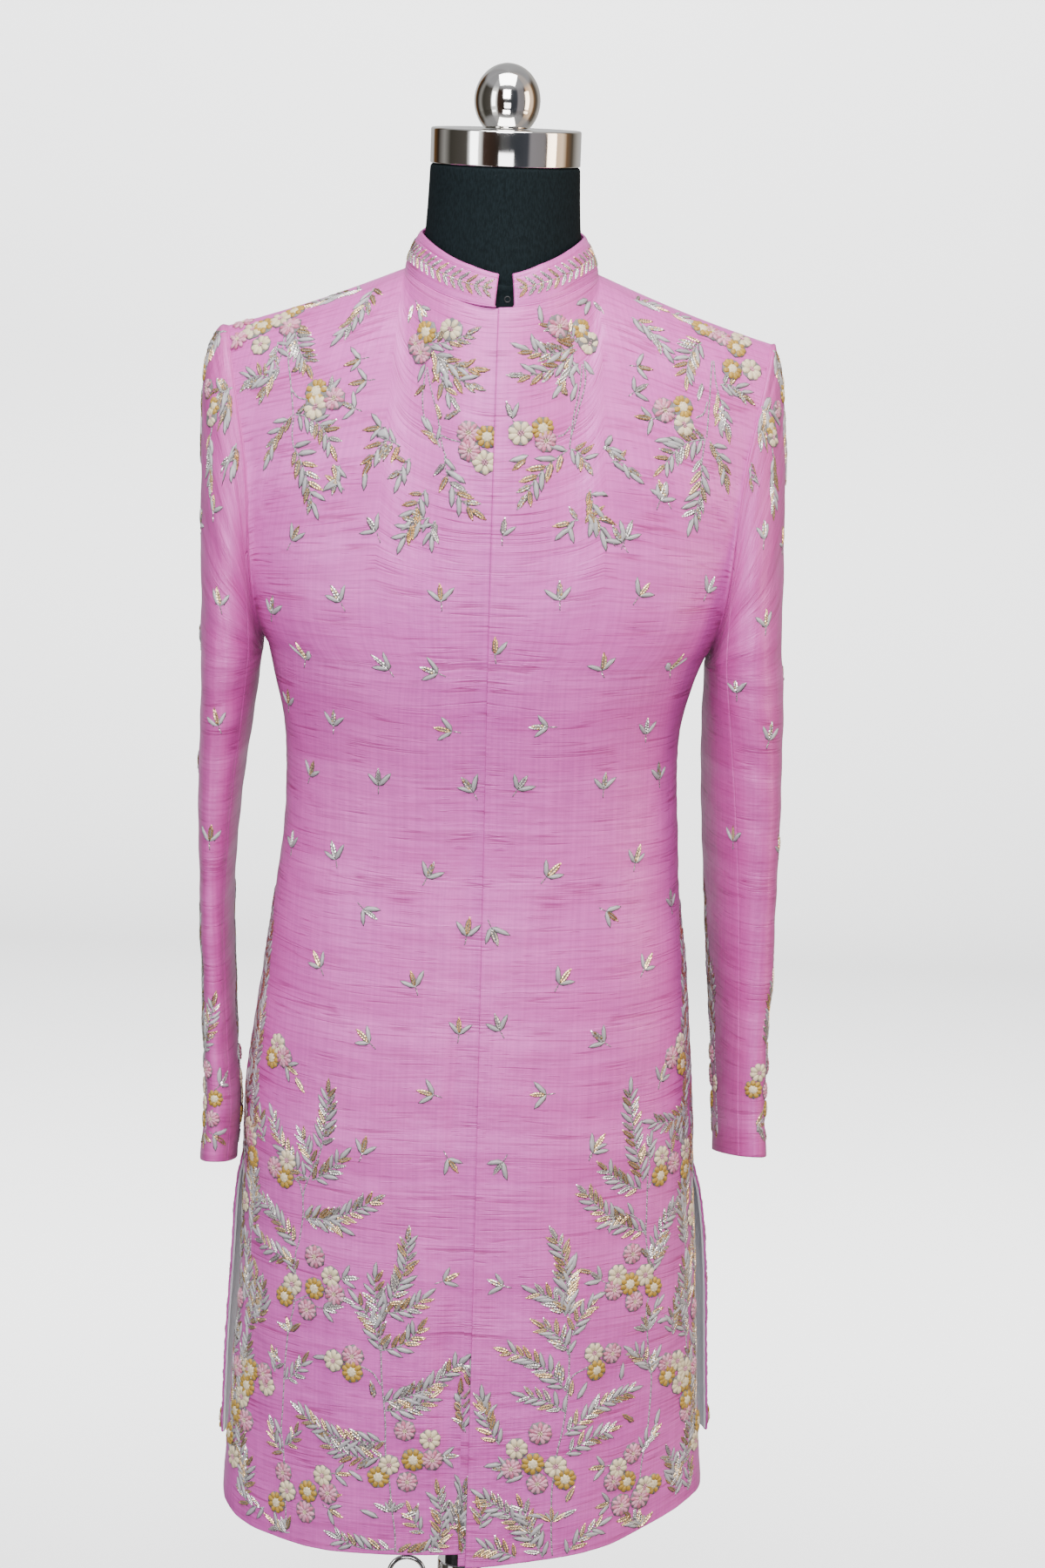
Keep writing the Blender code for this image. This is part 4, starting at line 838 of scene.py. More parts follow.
# Plants on each front (1 the wearer's left), listed stem by stem.
FRONT_WORK = {
    -1: {
     "stems": (
        ((161, 415), (163, 434), (164, 461), (165, 482), (167, 502), (164, 531), (163, 552),
         (160, 577), (157, 598), (151, 620), (149, 644), (149, 663), (145, 676), (141, 697),
         (140, 716), (135, 730), (126, 747), (120, 764),),
        ((140, 713), (144, 725), (153, 729),),
        ((54, 403), (55, 424), (58, 448), (60, 473), (63, 498), (63, 523), (64, 541),
         (66, 563), (67, 584), (68, 611), (66, 633),),
        ((67, 562), (74, 573), (84, 578),),
        ((150, 624), (134, 633), (123, 639),),
        ((216, 1397), (211, 1380), (210, 1366), (215, 1356),),
        ((214, 1396), (199, 1366), (185, 1342), (174, 1323),),
        ((185, 1342), (175, 1335), (162, 1331),),
        ((50, 1374), (46, 1361), (39, 1342), (34, 1321), (31, 1314),),
        ((51, 1371), (52, 1351), (48, 1334), (36, 1320),),
        ((35, 1328), (30, 1327), (23, 1327),),
        ((165, 1302), (170, 1311), (173, 1323),),
     ),
     "ferns": (
        (122, 758, 117, 816, 2), (135, 730, 175, 784, -6),
        (129, 736, 145, 772, 2, 12), (131, 730, 98, 761, 3), (140, 697, 69, 730, 7),
        (138, 695, 94, 691, -4, 13), (148, 671, 194, 703, 4),
        (149, 660, 202, 674, -4), (149, 647, 161, 663, 2, 11),
        (162, 550, 138, 578, 3, 12), (164, 489, 148, 513, 3, 11),
        (165, 482, 179, 505, -3, 12), (230, 728, 226, 770, 2, 12),
        (231, 765, 215, 808, 2, 12), (184, 751, 192, 781, -2, 12),
        (203, 691, 207, 728, 2, 12), (214, 605, 213, 642, 2, 12),
        (194, 591, 189, 637, 3, 12), (211, 542, 207, 583, 2, 12),
        (215, 426, 208, 470, 3, 13), (187, 426, 221, 431, -4, 13),
        (158, 412, 183, 419, -3, 12), (173, 554, 177, 576, 2, 12),
        (64, 633, 48, 700, 6), (66, 621, 73, 667, -3, 13), (68, 594, 96, 640, 5),
        (65, 628, 27, 651, 4), (67, 594, 33, 625, 5), (65, 546, 0, 595, 8),
        (63, 538, 18, 558, 4), (63, 509, 152, 534, -9), (61, 494, 125, 509, -6, 13),
        (-4, 525, 0, 565, -2, 13), (-6, 566, -4, 588, 2, 11),
        (55, 410, 113, 423, -5), (53, 407, 8, 421, 5, 13), (17, 409, 21, 470, 3, 13),
        (9, 424, -3, 482, 3, 13), (30, 424, 44, 452, -2, 12),
        (-3, 416, -6, 448, 2, 12), (207, 1403, 168, 1352, 4, 13),
        (132, 1421, 156, 1370, -5, 14), (207, 1363, 219, 1336, 3, 13),
        (217, 1356, 259, 1353, 4, 12.5), (175, 1323, 194, 1290, 4),
        (172, 1323, 123, 1289, -6), (165, 1302, 130, 1256, -3, 14),
        (220, 1388, 219, 1360, -2, 12), (50, 1393, 6, 1389, 6, 14),
        (44, 1388, 7, 1371, 4, 14), (40, 1381, 22, 1350, 3),
        (50, 1395, 17, 1423, 3, 12), (32, 1314, 3, 1273, 6, 14.5),
        (36, 1320, 53, 1334, 2, 12.5), (68, 1306, 98, 1275, 4, 14),
        (58, 1303, 66, 1278, 2, 13), (40, 1269, 61, 1240, 4),
        (44, 1287, 54, 1251, 2), (36, 1268, 36, 1246, 2, 13),
        (146, 1428, 186, 1436, 2, 12), (172, 1427, 208, 1432, 2, 11),
     ),
     "sprigs": (
        (98, 653, 166), (103, 475, 180), (12, 495, 180), (110, 440, -162),
        (117, 623, 180), (157, 819, -146), (126, 1351, 0), (118, 1274, -90),
        (144, 1337, 90), (115, 1335, 0), (119, 1320, 18), (93, 1304, 0),
        (59, 1420, -146),
     ),
     "flowers": (
        ("cream", 156, 742), ("mustard", 159, 727), ("blush", 170, 733),
        ("cream", 172, 835), ("mustard", 178, 823), ("blush", 163, 827),
        ("blush", 129, 666), ("cream", 113, 652), ("mustard", 129, 639),
        ("cream", 152, 638), ("mustard", 160, 626), ("blush", 137, 619),
        ("blush", 109, 638), ("mustard", 200, 547), ("blush", 184, 549),
        ("cream", 182, 539), ("cream", 213, 516), ("mustard", 223, 498),
        ("blush", 209, 496), ("mustard", 173, 435), ("cream", 160, 449),
        ("blush", 165, 464), ("mustard", 136, 454), ("cream", 120, 471),
        ("blush", 139, 435), ("blush", 114, 456), ("cream", 109, 579),
        ("blush", 91, 586), ("mustard", 91, 572), ("blush", 47, 520),
        ("cream", 26, 512), ("mustard", 40, 492), ("cream", 60, 487),
        ("mustard", 69, 475), ("blush", 45, 471), ("blush", 24, 493),
        ("cream", 214, 755), ("mustard", 203, 733), ("blush", 210, 747),
        ("mustard", 157, 1336), ("cream", 153, 1325), ("blush", 137, 1328),
        ("cream", 256, 1415), ("cream", 239, 1390), ("blush", 269, 1404),
        ("mustard", 245, 1417), ("mustard", 216, 1428), ("blush", 212, 1403),
        ("blush", 275, 1439), ("cream", 228, 1420), ("mustard", 53, 1403),
        ("cream", 33, 1416), ("blush", 62, 1387), ("blush", 56, 1383),
        ("blush", 17, 1335), ("blush", 16, 1322), ("mustard", 5, 1334),
        ("cream", 6, 1315),
     ),
     "lobes": (
        (156, 595, 76), (59, 443, 90), (69, 618, 56), (162, 413, 56),
     ),
     "leaves": (
        (72, 549, 76), (82, 470, 34), (165, 565, 14), (147, 634, 11), (175, 499, 63),
        (104, 636, -166), (117, 625, 169), (116, 580, -11), (34, 497, 180),
        (115, 452, 166), (193, 635, 63), (184, 606, 121), (167, 498, 63),
        (150, 813, -135), (161, 408, -37), (50, 438, 153), (69, 437, 27),
        (52, 1376, -72), (45, 1379, -117), (36, 1339, 63), (34, 1340, 135),
        (191, 1355, 153), (121, 1286, -146), (123, 1287, -124), (71, 1419, -76),
        (66, 1423, -146), (50, 1361, -56), (142, 1310, 162), (95, 1280, -90),
     ),
    },
    1: {
     "stems": (
        ((162, 407), (159, 429), (160, 462), (164, 487), (166, 514), (166, 546), (164, 567),
         (160, 592), (158, 611), (157, 626), (160, 639), (161, 656), (157, 672), (154, 688),
         (154, 709), (154, 725), (154, 741), (155, 757), (156, 767),),
        ((77, 403), (75, 424), (74, 449), (74, 470), (77, 502), (80, 520), (83, 545),
         (84, 571), (84, 592), (84, 613), (83, 632),),
        ((84, 567), (89, 575), (100, 580),),
        ((153, 689), (146, 703), (136, 709),),
        ((155, 728), (159, 734), (164, 737),),
        ((205, 1382), (201, 1362), (201, 1350),),
        ((203, 1381), (190, 1350), (175, 1318),),
        ((185, 1344), (178, 1335), (168, 1330),),
        ((62, 1374), (59, 1356), (53, 1338), (49, 1316),),
        ((64, 1373), (65, 1358), (57, 1340), (50, 1323),),
        ((50, 1332), (45, 1328), (40, 1328),),
        ((173, 1317), (166, 1304), (162, 1294),),
     ),
     "ferns": (
        (149, 735, 135, 821, 3), (208, 786, 149, 788, 6, 12.5),
        (148, 729, 108, 758, 4), (154, 691, 92, 741, 7),
        (142, 707, 110, 700, -4, 12.5), (161, 672, 194, 712, 4, 13),
        (161, 656, 179, 683, 3, 12), (155, 752, 159, 775, 2, 12),
        (181, 752, 185, 777, 2, 12), (196, 758, 195, 786, 2, 12),
        (164, 559, 138, 592, -4, 12), (165, 557, 174, 580, 3, 12),
        (159, 604, 176, 632, 4, 12), (187, 591, 194, 627, 3, 12),
        (204, 628, 207, 661, 2, 12), (203, 671, 201, 711, 2, 12),
        (160, 477, 180, 495, 3, 12), (193, 427, 209, 452, 3, 13),
        (199, 416, 185, 468, -3, 12), (160, 405, 145, 426, -2, 12),
        (214, 412, 221, 440, 2, 12), (79, 641, 66, 703, -5),
        (83, 630, 89, 678, 3, 13), (80, 629, 46, 654, -5), (86, 611, 110, 643, 4),
        (83, 594, 52, 625, -5), (82, 560, 23, 600, -8), (82, 540, 40, 558, -4),
        (82, 518, 156, 544, 8), (84, 499, 136, 511, 5, 13),
        (30, 514, 12, 566, 4, 13), (69, 407, 6, 469, -8), (58, 418, 46, 464, -3, 13),
        (47, 410, 5, 421, -3, 13), (86, 403, 129, 425, 6), (13, 439, 9, 465, -2, 12),
        (19, 542, 7, 551, -2, 11), (127, 1395, 159, 1367, 5, 14),
        (197, 1397, 166, 1350, -4, 13), (199, 1354, 201, 1321, 3, 13),
        (206, 1362, 242, 1355, 4, 12.5), (173, 1317, 122, 1285, -5),
        (165, 1304, 140, 1257, 3, 14), (178, 1317, 194, 1285, 4),
        (195, 1347, 193, 1324, 2, 12), (55, 1394, 12, 1411, 5, 14),
        (57, 1390, 6, 1383, 5, 14), (53, 1386, 37, 1358, 3),
        (57, 1395, 28, 1426, -3, 12), (48, 1316, 16, 1279, -6, 14.5),
        (85, 1289, 107, 1277, 4), (63, 1267, 77, 1241, 3), (65, 1282, 63, 1251, 2),
        (56, 1266, 42, 1254, -3, 13), (79, 1297, 94, 1290, 2, 12),
        (50, 1316, 66, 1294, 2, 12), (135, 1421, 168, 1425, 2, 11),
        (174, 1425, 199, 1422, 2, 11),
     ),
     "sprigs": (
        (108, 659, 153), (117, 479, 169), (124, 442, 180), (167, 820, 76),
        (104, 768, 56), (34, 492, 180), (122, 1276, 56), (93, 1251, 63),
        (125, 1354, 14), (117, 1337, 34), (121, 1320, -169), (9, 1351, 108),
     ),
     "flowers": (
        ("cream", 168, 753), ("mustard", 167, 737), ("blush", 184, 744),
        ("blush", 180, 833), ("cream", 195, 841), ("mustard", 197, 824),
        ("blush", 141, 675), ("cream", 127, 659), ("mustard", 139, 650),
        ("cream", 154, 655), ("mustard", 163, 643), ("blush", 144, 634),
        ("blush", 124, 647), ("cream", 193, 560), ("mustard", 182, 549),
        ("blush", 180, 563), ("cream", 197, 532), ("mustard", 208, 508),
        ("blush", 209, 494), ("blush", 150, 481), ("cream", 135, 473),
        ("mustard", 145, 456), ("blush", 130, 462), ("cream", 164, 443),
        ("mustard", 174, 440), ("blush", 140, 436), ("blush", 160, 434),
        ("cream", 106, 593), ("blush", 124, 589), ("mustard", 109, 576),
        ("cream", 45, 509), ("blush", 63, 522), ("mustard", 58, 494),
        ("cream", 76, 489), ("mustard", 84, 476), ("blush", 62, 475),
        ("blush", 41, 491), ("blush", 138, 1329), ("mustard", 157, 1335),
        ("cream", 154, 1323), ("mustard", 236, 1407), ("mustard", 224, 1380),
        ("cream", 248, 1387), ("blush", 214, 1419), ("mustard", 204, 1419),
        ("blush", 224, 1416), ("cream", 247, 1426), ("blush", 41, 1418),
        ("mustard", 62, 1405), ("cream", 71, 1386), ("cream", 16, 1336),
        ("mustard", 30, 1337), ("blush", 32, 1327),
     ),
     "lobes": (
        (159, 604, 104), (75, 438, 90), (83, 634, 90), (158, 669, 76),
        (162, 407, 90),
     ),
     "leaves": (
        (86, 554, 90), (92, 551, 63), (81, 441, 18), (69, 443, 166), (173, 498, 79),
        (151, 512, 135), (151, 421, 169), (167, 816, 72), (168, 609, 0),
        (153, 578, 135), (103, 664, 166), (116, 646, -166), (33, 496, 180),
        (135, 560, 90), (85, 454, 56), (51, 484, -162), (48, 1355, 108),
        (51, 1350, 63), (58, 1377, -135), (64, 1376, -63), (70, 1431, 169),
        (74, 1426, -124), (79, 1422, -63), (149, 1309, 180), (185, 1358, -124),
        (21, 1319, -162), (20, 1317, -135), (29, 1426, 90), (139, 1311, -162),
     ),
    },
}
# Plants round the sides of the skirt, the same on every panel.
SIDE_WORK = {
    "stems": (((206, 430), (210, 500), (207, 580), (206, 660), (205, 740)),),
    "ferns": (
        (208, 440, 216, 500, -3, 12), (207, 580, 196, 640, 3, 12),
        (206, 610, 222, 668, 3, 12), (206, 668, 200, 730, 3, 12),
        (207, 700, 224, 756, 3, 12), (206, 742, 207, 812, 2, 12),
        (208, 806, 205, 872, 2, 11.5), (206, 866, 206, 934, -2, 11),
        (214, 800, 222, 880, 3, 11), (232, 452, 236, 540, 3, 12),
        (234, 545, 232, 632, 3, 12), (236, 634, 232, 716, 3, 12),
        (234, 720, 228, 800, 3, 11.5), (226, 806, 219, 884, 3, 11),
        (220, 500, 214, 570, 3, 12), (222, 884, 214, 950, 2, 11),
    ),
    "sprigs": ((222, 570, 60), (196, 700, 100)),
    "flowers": (
        ("mustard", 206, 530), ("cream", 204, 546), ("mustard", 204, 734),
        ("cream", 207, 749), ("cream", 220, 690), ("blush", 224, 604),
        ("blush", 222, 540), ("cream", 226, 454), ("mustard", 236, 470),
    ),
    "lobes": (),
    "leaves": ((212, 620, 30), (212, 600, 140)),
}
BUTIS = {
    ("front", -1): (
        (83, 1249, 50), (146, 1246, 120), (105, 1208, 60), (171, 1196, 110),
        (151, 1163, 100), (78, 1162, 50), (122, 1111, 95), (26, 1112, 10),
        (149, 1064, 110), (82, 1066, 90), (7, 1064, 60), (121, 1000, 75),
        (39, 993, 115), (89, 957, 220), (6, 947, 100), (132, 910, 60),
        (48, 904, 70), (85, 854, 40), (9, 867, 95), (31, 814, 15),
        (83, 763, 110), (12, 757, 240), (14, 659, 160), (31, 1217, 85),
        (118, 1277, 35), (178, 1120, 100), (176, 1000, 90), (40, 1160, 20),
    ),
    ("front", 1): (
        (5, 1179, 100), (90, 1167, 120), (156, 1164, 100), (49, 1117, 180),
        (139, 1111, 90), (32, 1068, 55), (100, 1068, 85), (158, 1070, 95),
        (57, 996, 50), (132, 1004, 80), (109, 961, 330), (12, 948, 300),
        (70, 909, 60), (146, 915, 55), (20, 871, 120), (105, 858, 145),
        (58, 815, 185), (27, 756, 240), (104, 771, 60), (26, 656, 170),
        (7, 1267, 90), (46, 1219, 95), (183, 960, 100), (123, 1278, 120),
        (104, 1218, 55), (165, 1222, 60), (86, 1248, 130),
    ),
}
BUTIS["back", 1] = tuple((u + 6, v - 8, turn) for u, v, turn in
                         BUTIS["front", -1] if v < 1200)
BUTIS["back", -1] = tuple((u + 4, v - 8, turn) for u, v, turn in
                          BUTIS["front", -1] if v < 1200)

# Cuff plants, from the foot of each plant's stem: across and above the cuff.
CUFF_WORK = {
    -1: {
        "stems": (((0, 20), (0, 60), (-2, 100)), ((0, 96), (8, 104))),
        "ferns": ((-1, 96, 2, 224, 0, 10.5), (3, 100, 24, 152, -2, 11.5),
                  (-3, 98, -17, 142, 2, 11.0), (0, 150, -12, 178, 1, 10.0)),
        "lobes": ((0, 24, -90),),
        "flowers": (("mustard", -9, 36), ("blush", 12, 38), ("cream", -3, 51),
                    ("mustard", 15, 57), ("cream", -11, 66), ("blush", 8, 84)),
        "sprigs": ((24, 72, 40), (-19, 84, 130), (18, 22, -20)),
    },
    1: {
        "stems": (((0, 20), (2, 60), (0, 98)), ((2, 28), (20, 34), (36, 27)),
                  ((20, 62), (27, 84), (28, 104))),
        "ferns": ((0, 94, 1, 222, 0, 10.5), (28, 102, 31, 166, 1, 12.0),
                  (2, 104, 16, 140, -1, 10.5), (-2, 120, -14, 160, 1, 10.5)),
        "lobes": ((2, 24, -90), (38, 27, 175)),
        "flowers": (("mustard", 22, 42), ("blush", 25, 59), ("cream", 2, 56),
                    ("cream", 38, 77), ("mustard", 42, 61), ("blush", 9, 79),
                    ("mustard", -12, 44), ("cream", -13, 65)),
        "sprigs": ((14, 92, 70), (-20, 84, 120)),
    },
}
CUFF_PLACES = {-1: (48, -32, -108), 1: (28, -52, -124)}
HEAD_FERNS = (
    (12, 1404, 10, 1356, 3, 12.5), (66, 1406, 86, 1376, 3, 12.5),
    (66, 1404, 52, 1372, 3, 12.5), (58, 1332, 66, 1290, 2, 12.5),
    (-22, 1406, -34, 1362, 3, 12.5), (-74, 1406, -60, 1362, 3, 12.5),
    (-110, 1396, -126, 1352, 3, 12.5), (110, 1398, 118, 1366, 3, 12),
    (-40, 1330, -48, 1284, 3, 12.5), (10, 1330, 4, 1276, 3, 12.5),
)
HEAD_FLOWERS = (("mustard", 58, 1359), ("cream", 56, 1345), ("blush", 36, 1352),
                ("mustard", 10, 1344), ("cream", -6, 1350), ("mustard", -44, 1352),
                ("cream", -50, 1338), ("blush", -66, 1350))
HEAD_STEMS = (((66, 1420), (66, 1404)), ((14, 1424), (12, 1404), (10, 1350), (8, 1326)),
              ((60, 1372), (60, 1332)), ((-30, 1424), (-28, 1400), (-42, 1330)),
              ((-74, 1420), (-74, 1404)))
SLEEVE_BUTIS = {
    -1: ((77, 1291, 95), (87, 1225, 100), (81, 1105, 110), (75, 1008, 90),
         (30, 1250, 80), (24, 1165, 100), (26, 1060, 60), (-30, 1210, 90),
         (-34, 1120, 70), (-30, 1020, 110), (-86, 1180, 90), (-84, 1070, 100)),
    1: ((89, 1295, 100), (79, 1217, 95), (106, 1146, 90), (78, 1108, 110),
        (113, 1020, 90), (59, 1012, 85), (30, 1250, 80), (20, 1150, 60),
        (14, 1060, 110), (-30, 1210, 90), (-34, 1120, 70), (-40, 1020, 110),
        (-86, 1180, 90), (-84, 1070, 100)),
}


# ---------------------------------------------------------------- motifs
def read_form(item):
    """Points and triangles of a modelled form, which is then put away."""
    deselect()
    item.data.calc_loop_triangles()
    verts = np.empty(len(item.data.vertices) * 3)
    item.data.vertices.foreach_get("co", verts)
    faces = np.empty(len(item.data.loop_triangles) * 3, np.int32)
    item.data.loop_triangles.foreach_get("vertices", faces)
    bpy.data.objects.remove(item, do_unlink=True)
    return verts.reshape(-1, 3), faces.reshape(-1, 3)


def select_where(item, test):
    """In edit mode, select the points that pass a test of their place."""
    bpy.ops.mesh.select_all(action="DESELECT")
    bpy.ops.object.mode_set(mode="OBJECT")
    for vert in item.data.vertices:
        vert.select = bool(test(vert.co))
    bpy.ops.object.mode_set(mode="EDIT")


def shape_across(item, outline):
    """Narrow or widen a form lying along X to an outline of (x, half) pairs."""
    places = sorted({round(v.co.x * 50) / 50 for v in item.data.vertices})
    bpy.ops.object.mode_set(mode="EDIT")
    for place in places:
        round_half = math.sqrt(max(0.25 - (place - 0.5) ** 2, 1e-4))
        half = float(np.interp(place, [p[0] for p in outline],
                               [p[1] for p in outline]))
        select_where(item, lambda co: abs(co.x - place) <= 0.01)
        bpy.ops.transform.resize(value=(1.0, half / round_half, 1.0),
                                 center_override=(place, 0.0, 0.0))
    bpy.ops.object.mode_set(mode="OBJECT")


def half_form(segments, rings, outline, groove):
    """A domed form on the cloth, base at the origin and tip at x = 1."""
    deselect()
    bpy.ops.mesh.primitive_uv_sphere_add(
        segments=segments, ring_count=rings, radius=0.5, location=(0.5, 0, 0),
        rotation=(0, math.pi / 2, 0))
    item = bpy.context.active_object
    bpy.ops.object.transform_apply(location=True, rotation=True, scale=True)
    edit_all()
    bpy.ops.mesh.bisect(plane_co=(0, 0, -0.001), plane_no=(0, 0, 1),
                        clear_inner=True, use_fill=True)
    bpy.ops.object.mode_set(mode="OBJECT")
    shape_across(item, outline)
    bpy.ops.object.mode_set(mode="EDIT")
    select_where(item, lambda co: abs(co.y) < 0.01 and co.z > 0.05
                 and 0.05 < co.x < 0.95)
    bpy.ops.transform.translate(value=(0, 0, -groove))
    bpy.ops.object.mode_set(mode="OBJECT")
    verts, faces = read_form(item)
    return verts * np.array((1.0, 1.0, 2.0)), faces


def bead_form():
    """A small cut bead, 1 across, resting on the cloth."""
    deselect()
    bpy.ops.mesh.primitive_cone_add(vertices=4, radius1=0.64, radius2=0.0,
                                    depth=1.0, location=(0, 0, 0.4),
                                    rotation=(0, 0, math.pi / 4))
    item = bpy.context.active_object
    bpy.ops.object.transform_apply(location=True, rotation=True, scale=True)
    return read_form(item)


def placed_form(form, x, y, z, length, width, height, turn):
    verts, faces = form
    a = verts[:, 0] * length
    b = verts[:, 1] * width
    c = math.cos(turn)
    s = math.sin(turn)
    moved = np.stack([x + a * c - b * s, y + a * s + b * c,
                      z + verts[:, 2] * height], -1)
    return moved, faces


def joined(parts):
    """Join (form, slot) pairs into one form with a slot for each face."""
    verts = []
    faces = []
    slots = []
    count = 0
    for (points, tris), slot in parts:
        verts.append(points)
        faces.append(tris + count)
        slots.append(np.full(len(tris), slot))
        count += len(points)
    return np.concatenate(verts), np.concatenate(faces), np.concatenate(slots)


LEAF_OUTLINE = ((0.0, 0.02), (0.12, 0.22), (0.30, 0.44), (0.48, 0.50),
                (0.68, 0.42), (0.86, 0.22), (1.0, 0.02))
PETAL_OUTLINE = ((0.0, 0.10), (0.25, 0.30), (0.55, 0.50), (0.80, 0.46),
                 (0.95, 0.24), (1.0, 0.05))
LOOP_OUTLINE = ((0.0, 0.14), (0.30, 0.30), (0.70, 0.50), (0.92, 0.34), (1.0, 0.08))
(SATIN, GREY, SILVER, GOLD, CREAM, BLUSH, MUSTARD, ROSE) = range(8)
CUT_BEADS = (SILVER, GOLD)


def model_motifs():
    """Model each motif once: its points, triangles and thread of each face."""
    bead = bead_form()
    leaf = half_form(6, 5, LEAF_OUTLINE, 0.16)
    # The dark grey base under every leaf is grey outline thread and painted shade: round
    # each satin leaf and in the gaps between the beads.
    ground = half_form(4, 3, LEAF_OUTLINE, 0.0)
    petal = half_form(6, 4, PETAL_OUTLINE, 0.10)
    loop = half_form(5, 3, LOOP_OUTLINE, 0.0)
    disc = half_form(10, 4, ((0.0, 0.05), (0.1, 0.30), (0.5, 0.5), (0.9, 0.30),
                             (1.0, 0.05)), 0.0)
    # Dark grey rim round the satin leaf: its outline thread, and painted shade along its
    # edge.
    edge = placed_form(ground, -0.04, 0, 0, 1.10, 1.34, 0.34, 0)
    motifs = {"leaf": joined([(edge, GREY), (leaf, SATIN)])}
    rows = ((0.19, 0.13, 0.75), (0.34, 0.18, 1.0), (0.49, 0.20, 1.0),
            (0.64, 0.18, 1.0), (0.78, 0.13, 0.8))
    for name, first, second in (("silver_leaf", SILVER, SILVER),
                                ("gold_leaf", GOLD, GOLD),
                                ("mixed_leaf", SILVER, GOLD)):
        # Dark grey base under the beads: painted shade in the gaps between them.
        parts = [(placed_form(ground, 0, 0, 0, 1, 1.10, 0.25, 0), GREY),
                 (placed_form(bead, 0.93, 0, 0.15, 0.20, 0.24, 0.45, 0), first)]
        for i, (x, y, size) in enumerate(rows):
            for hand in (1, -1):
                spot = placed_form(bead, x + 0.03 * hand, y * hand, 0.20,
                                   0.30 * size, 0.22, 0.50, 0.85 * hand)
                parts.append((spot, first if (i + hand) % 3 else second))
        motifs[name] = joined(parts)
    for name, slot in (("gold_bead", GOLD), ("coil", SATIN),
                       ("cream_bead", CREAM), ("blush_bead", BLUSH),
                       ("grey_coil", GREY), ("silver_coil", SILVER)):
        motifs[name] = joined([(bead, slot)])
    centred = placed_form(disc, -0.5, 0, 0, 1, 1, 1, 0)
    for name, form, slot in (("cream_petal", petal, CREAM),
                             ("mustard_petal", petal, MUSTARD),
                             ("blush_loop", loop, BLUSH), ("rose_loop", loop, ROSE),
                             ("grey_disc", centred, GREY),
                             ("cream_disc", centred, CREAM)):
        motifs[name] = joined([(form, slot)])
    return motifs


LEAF_LENGTH = 14.6
BLOOM_SIZE = 19.2


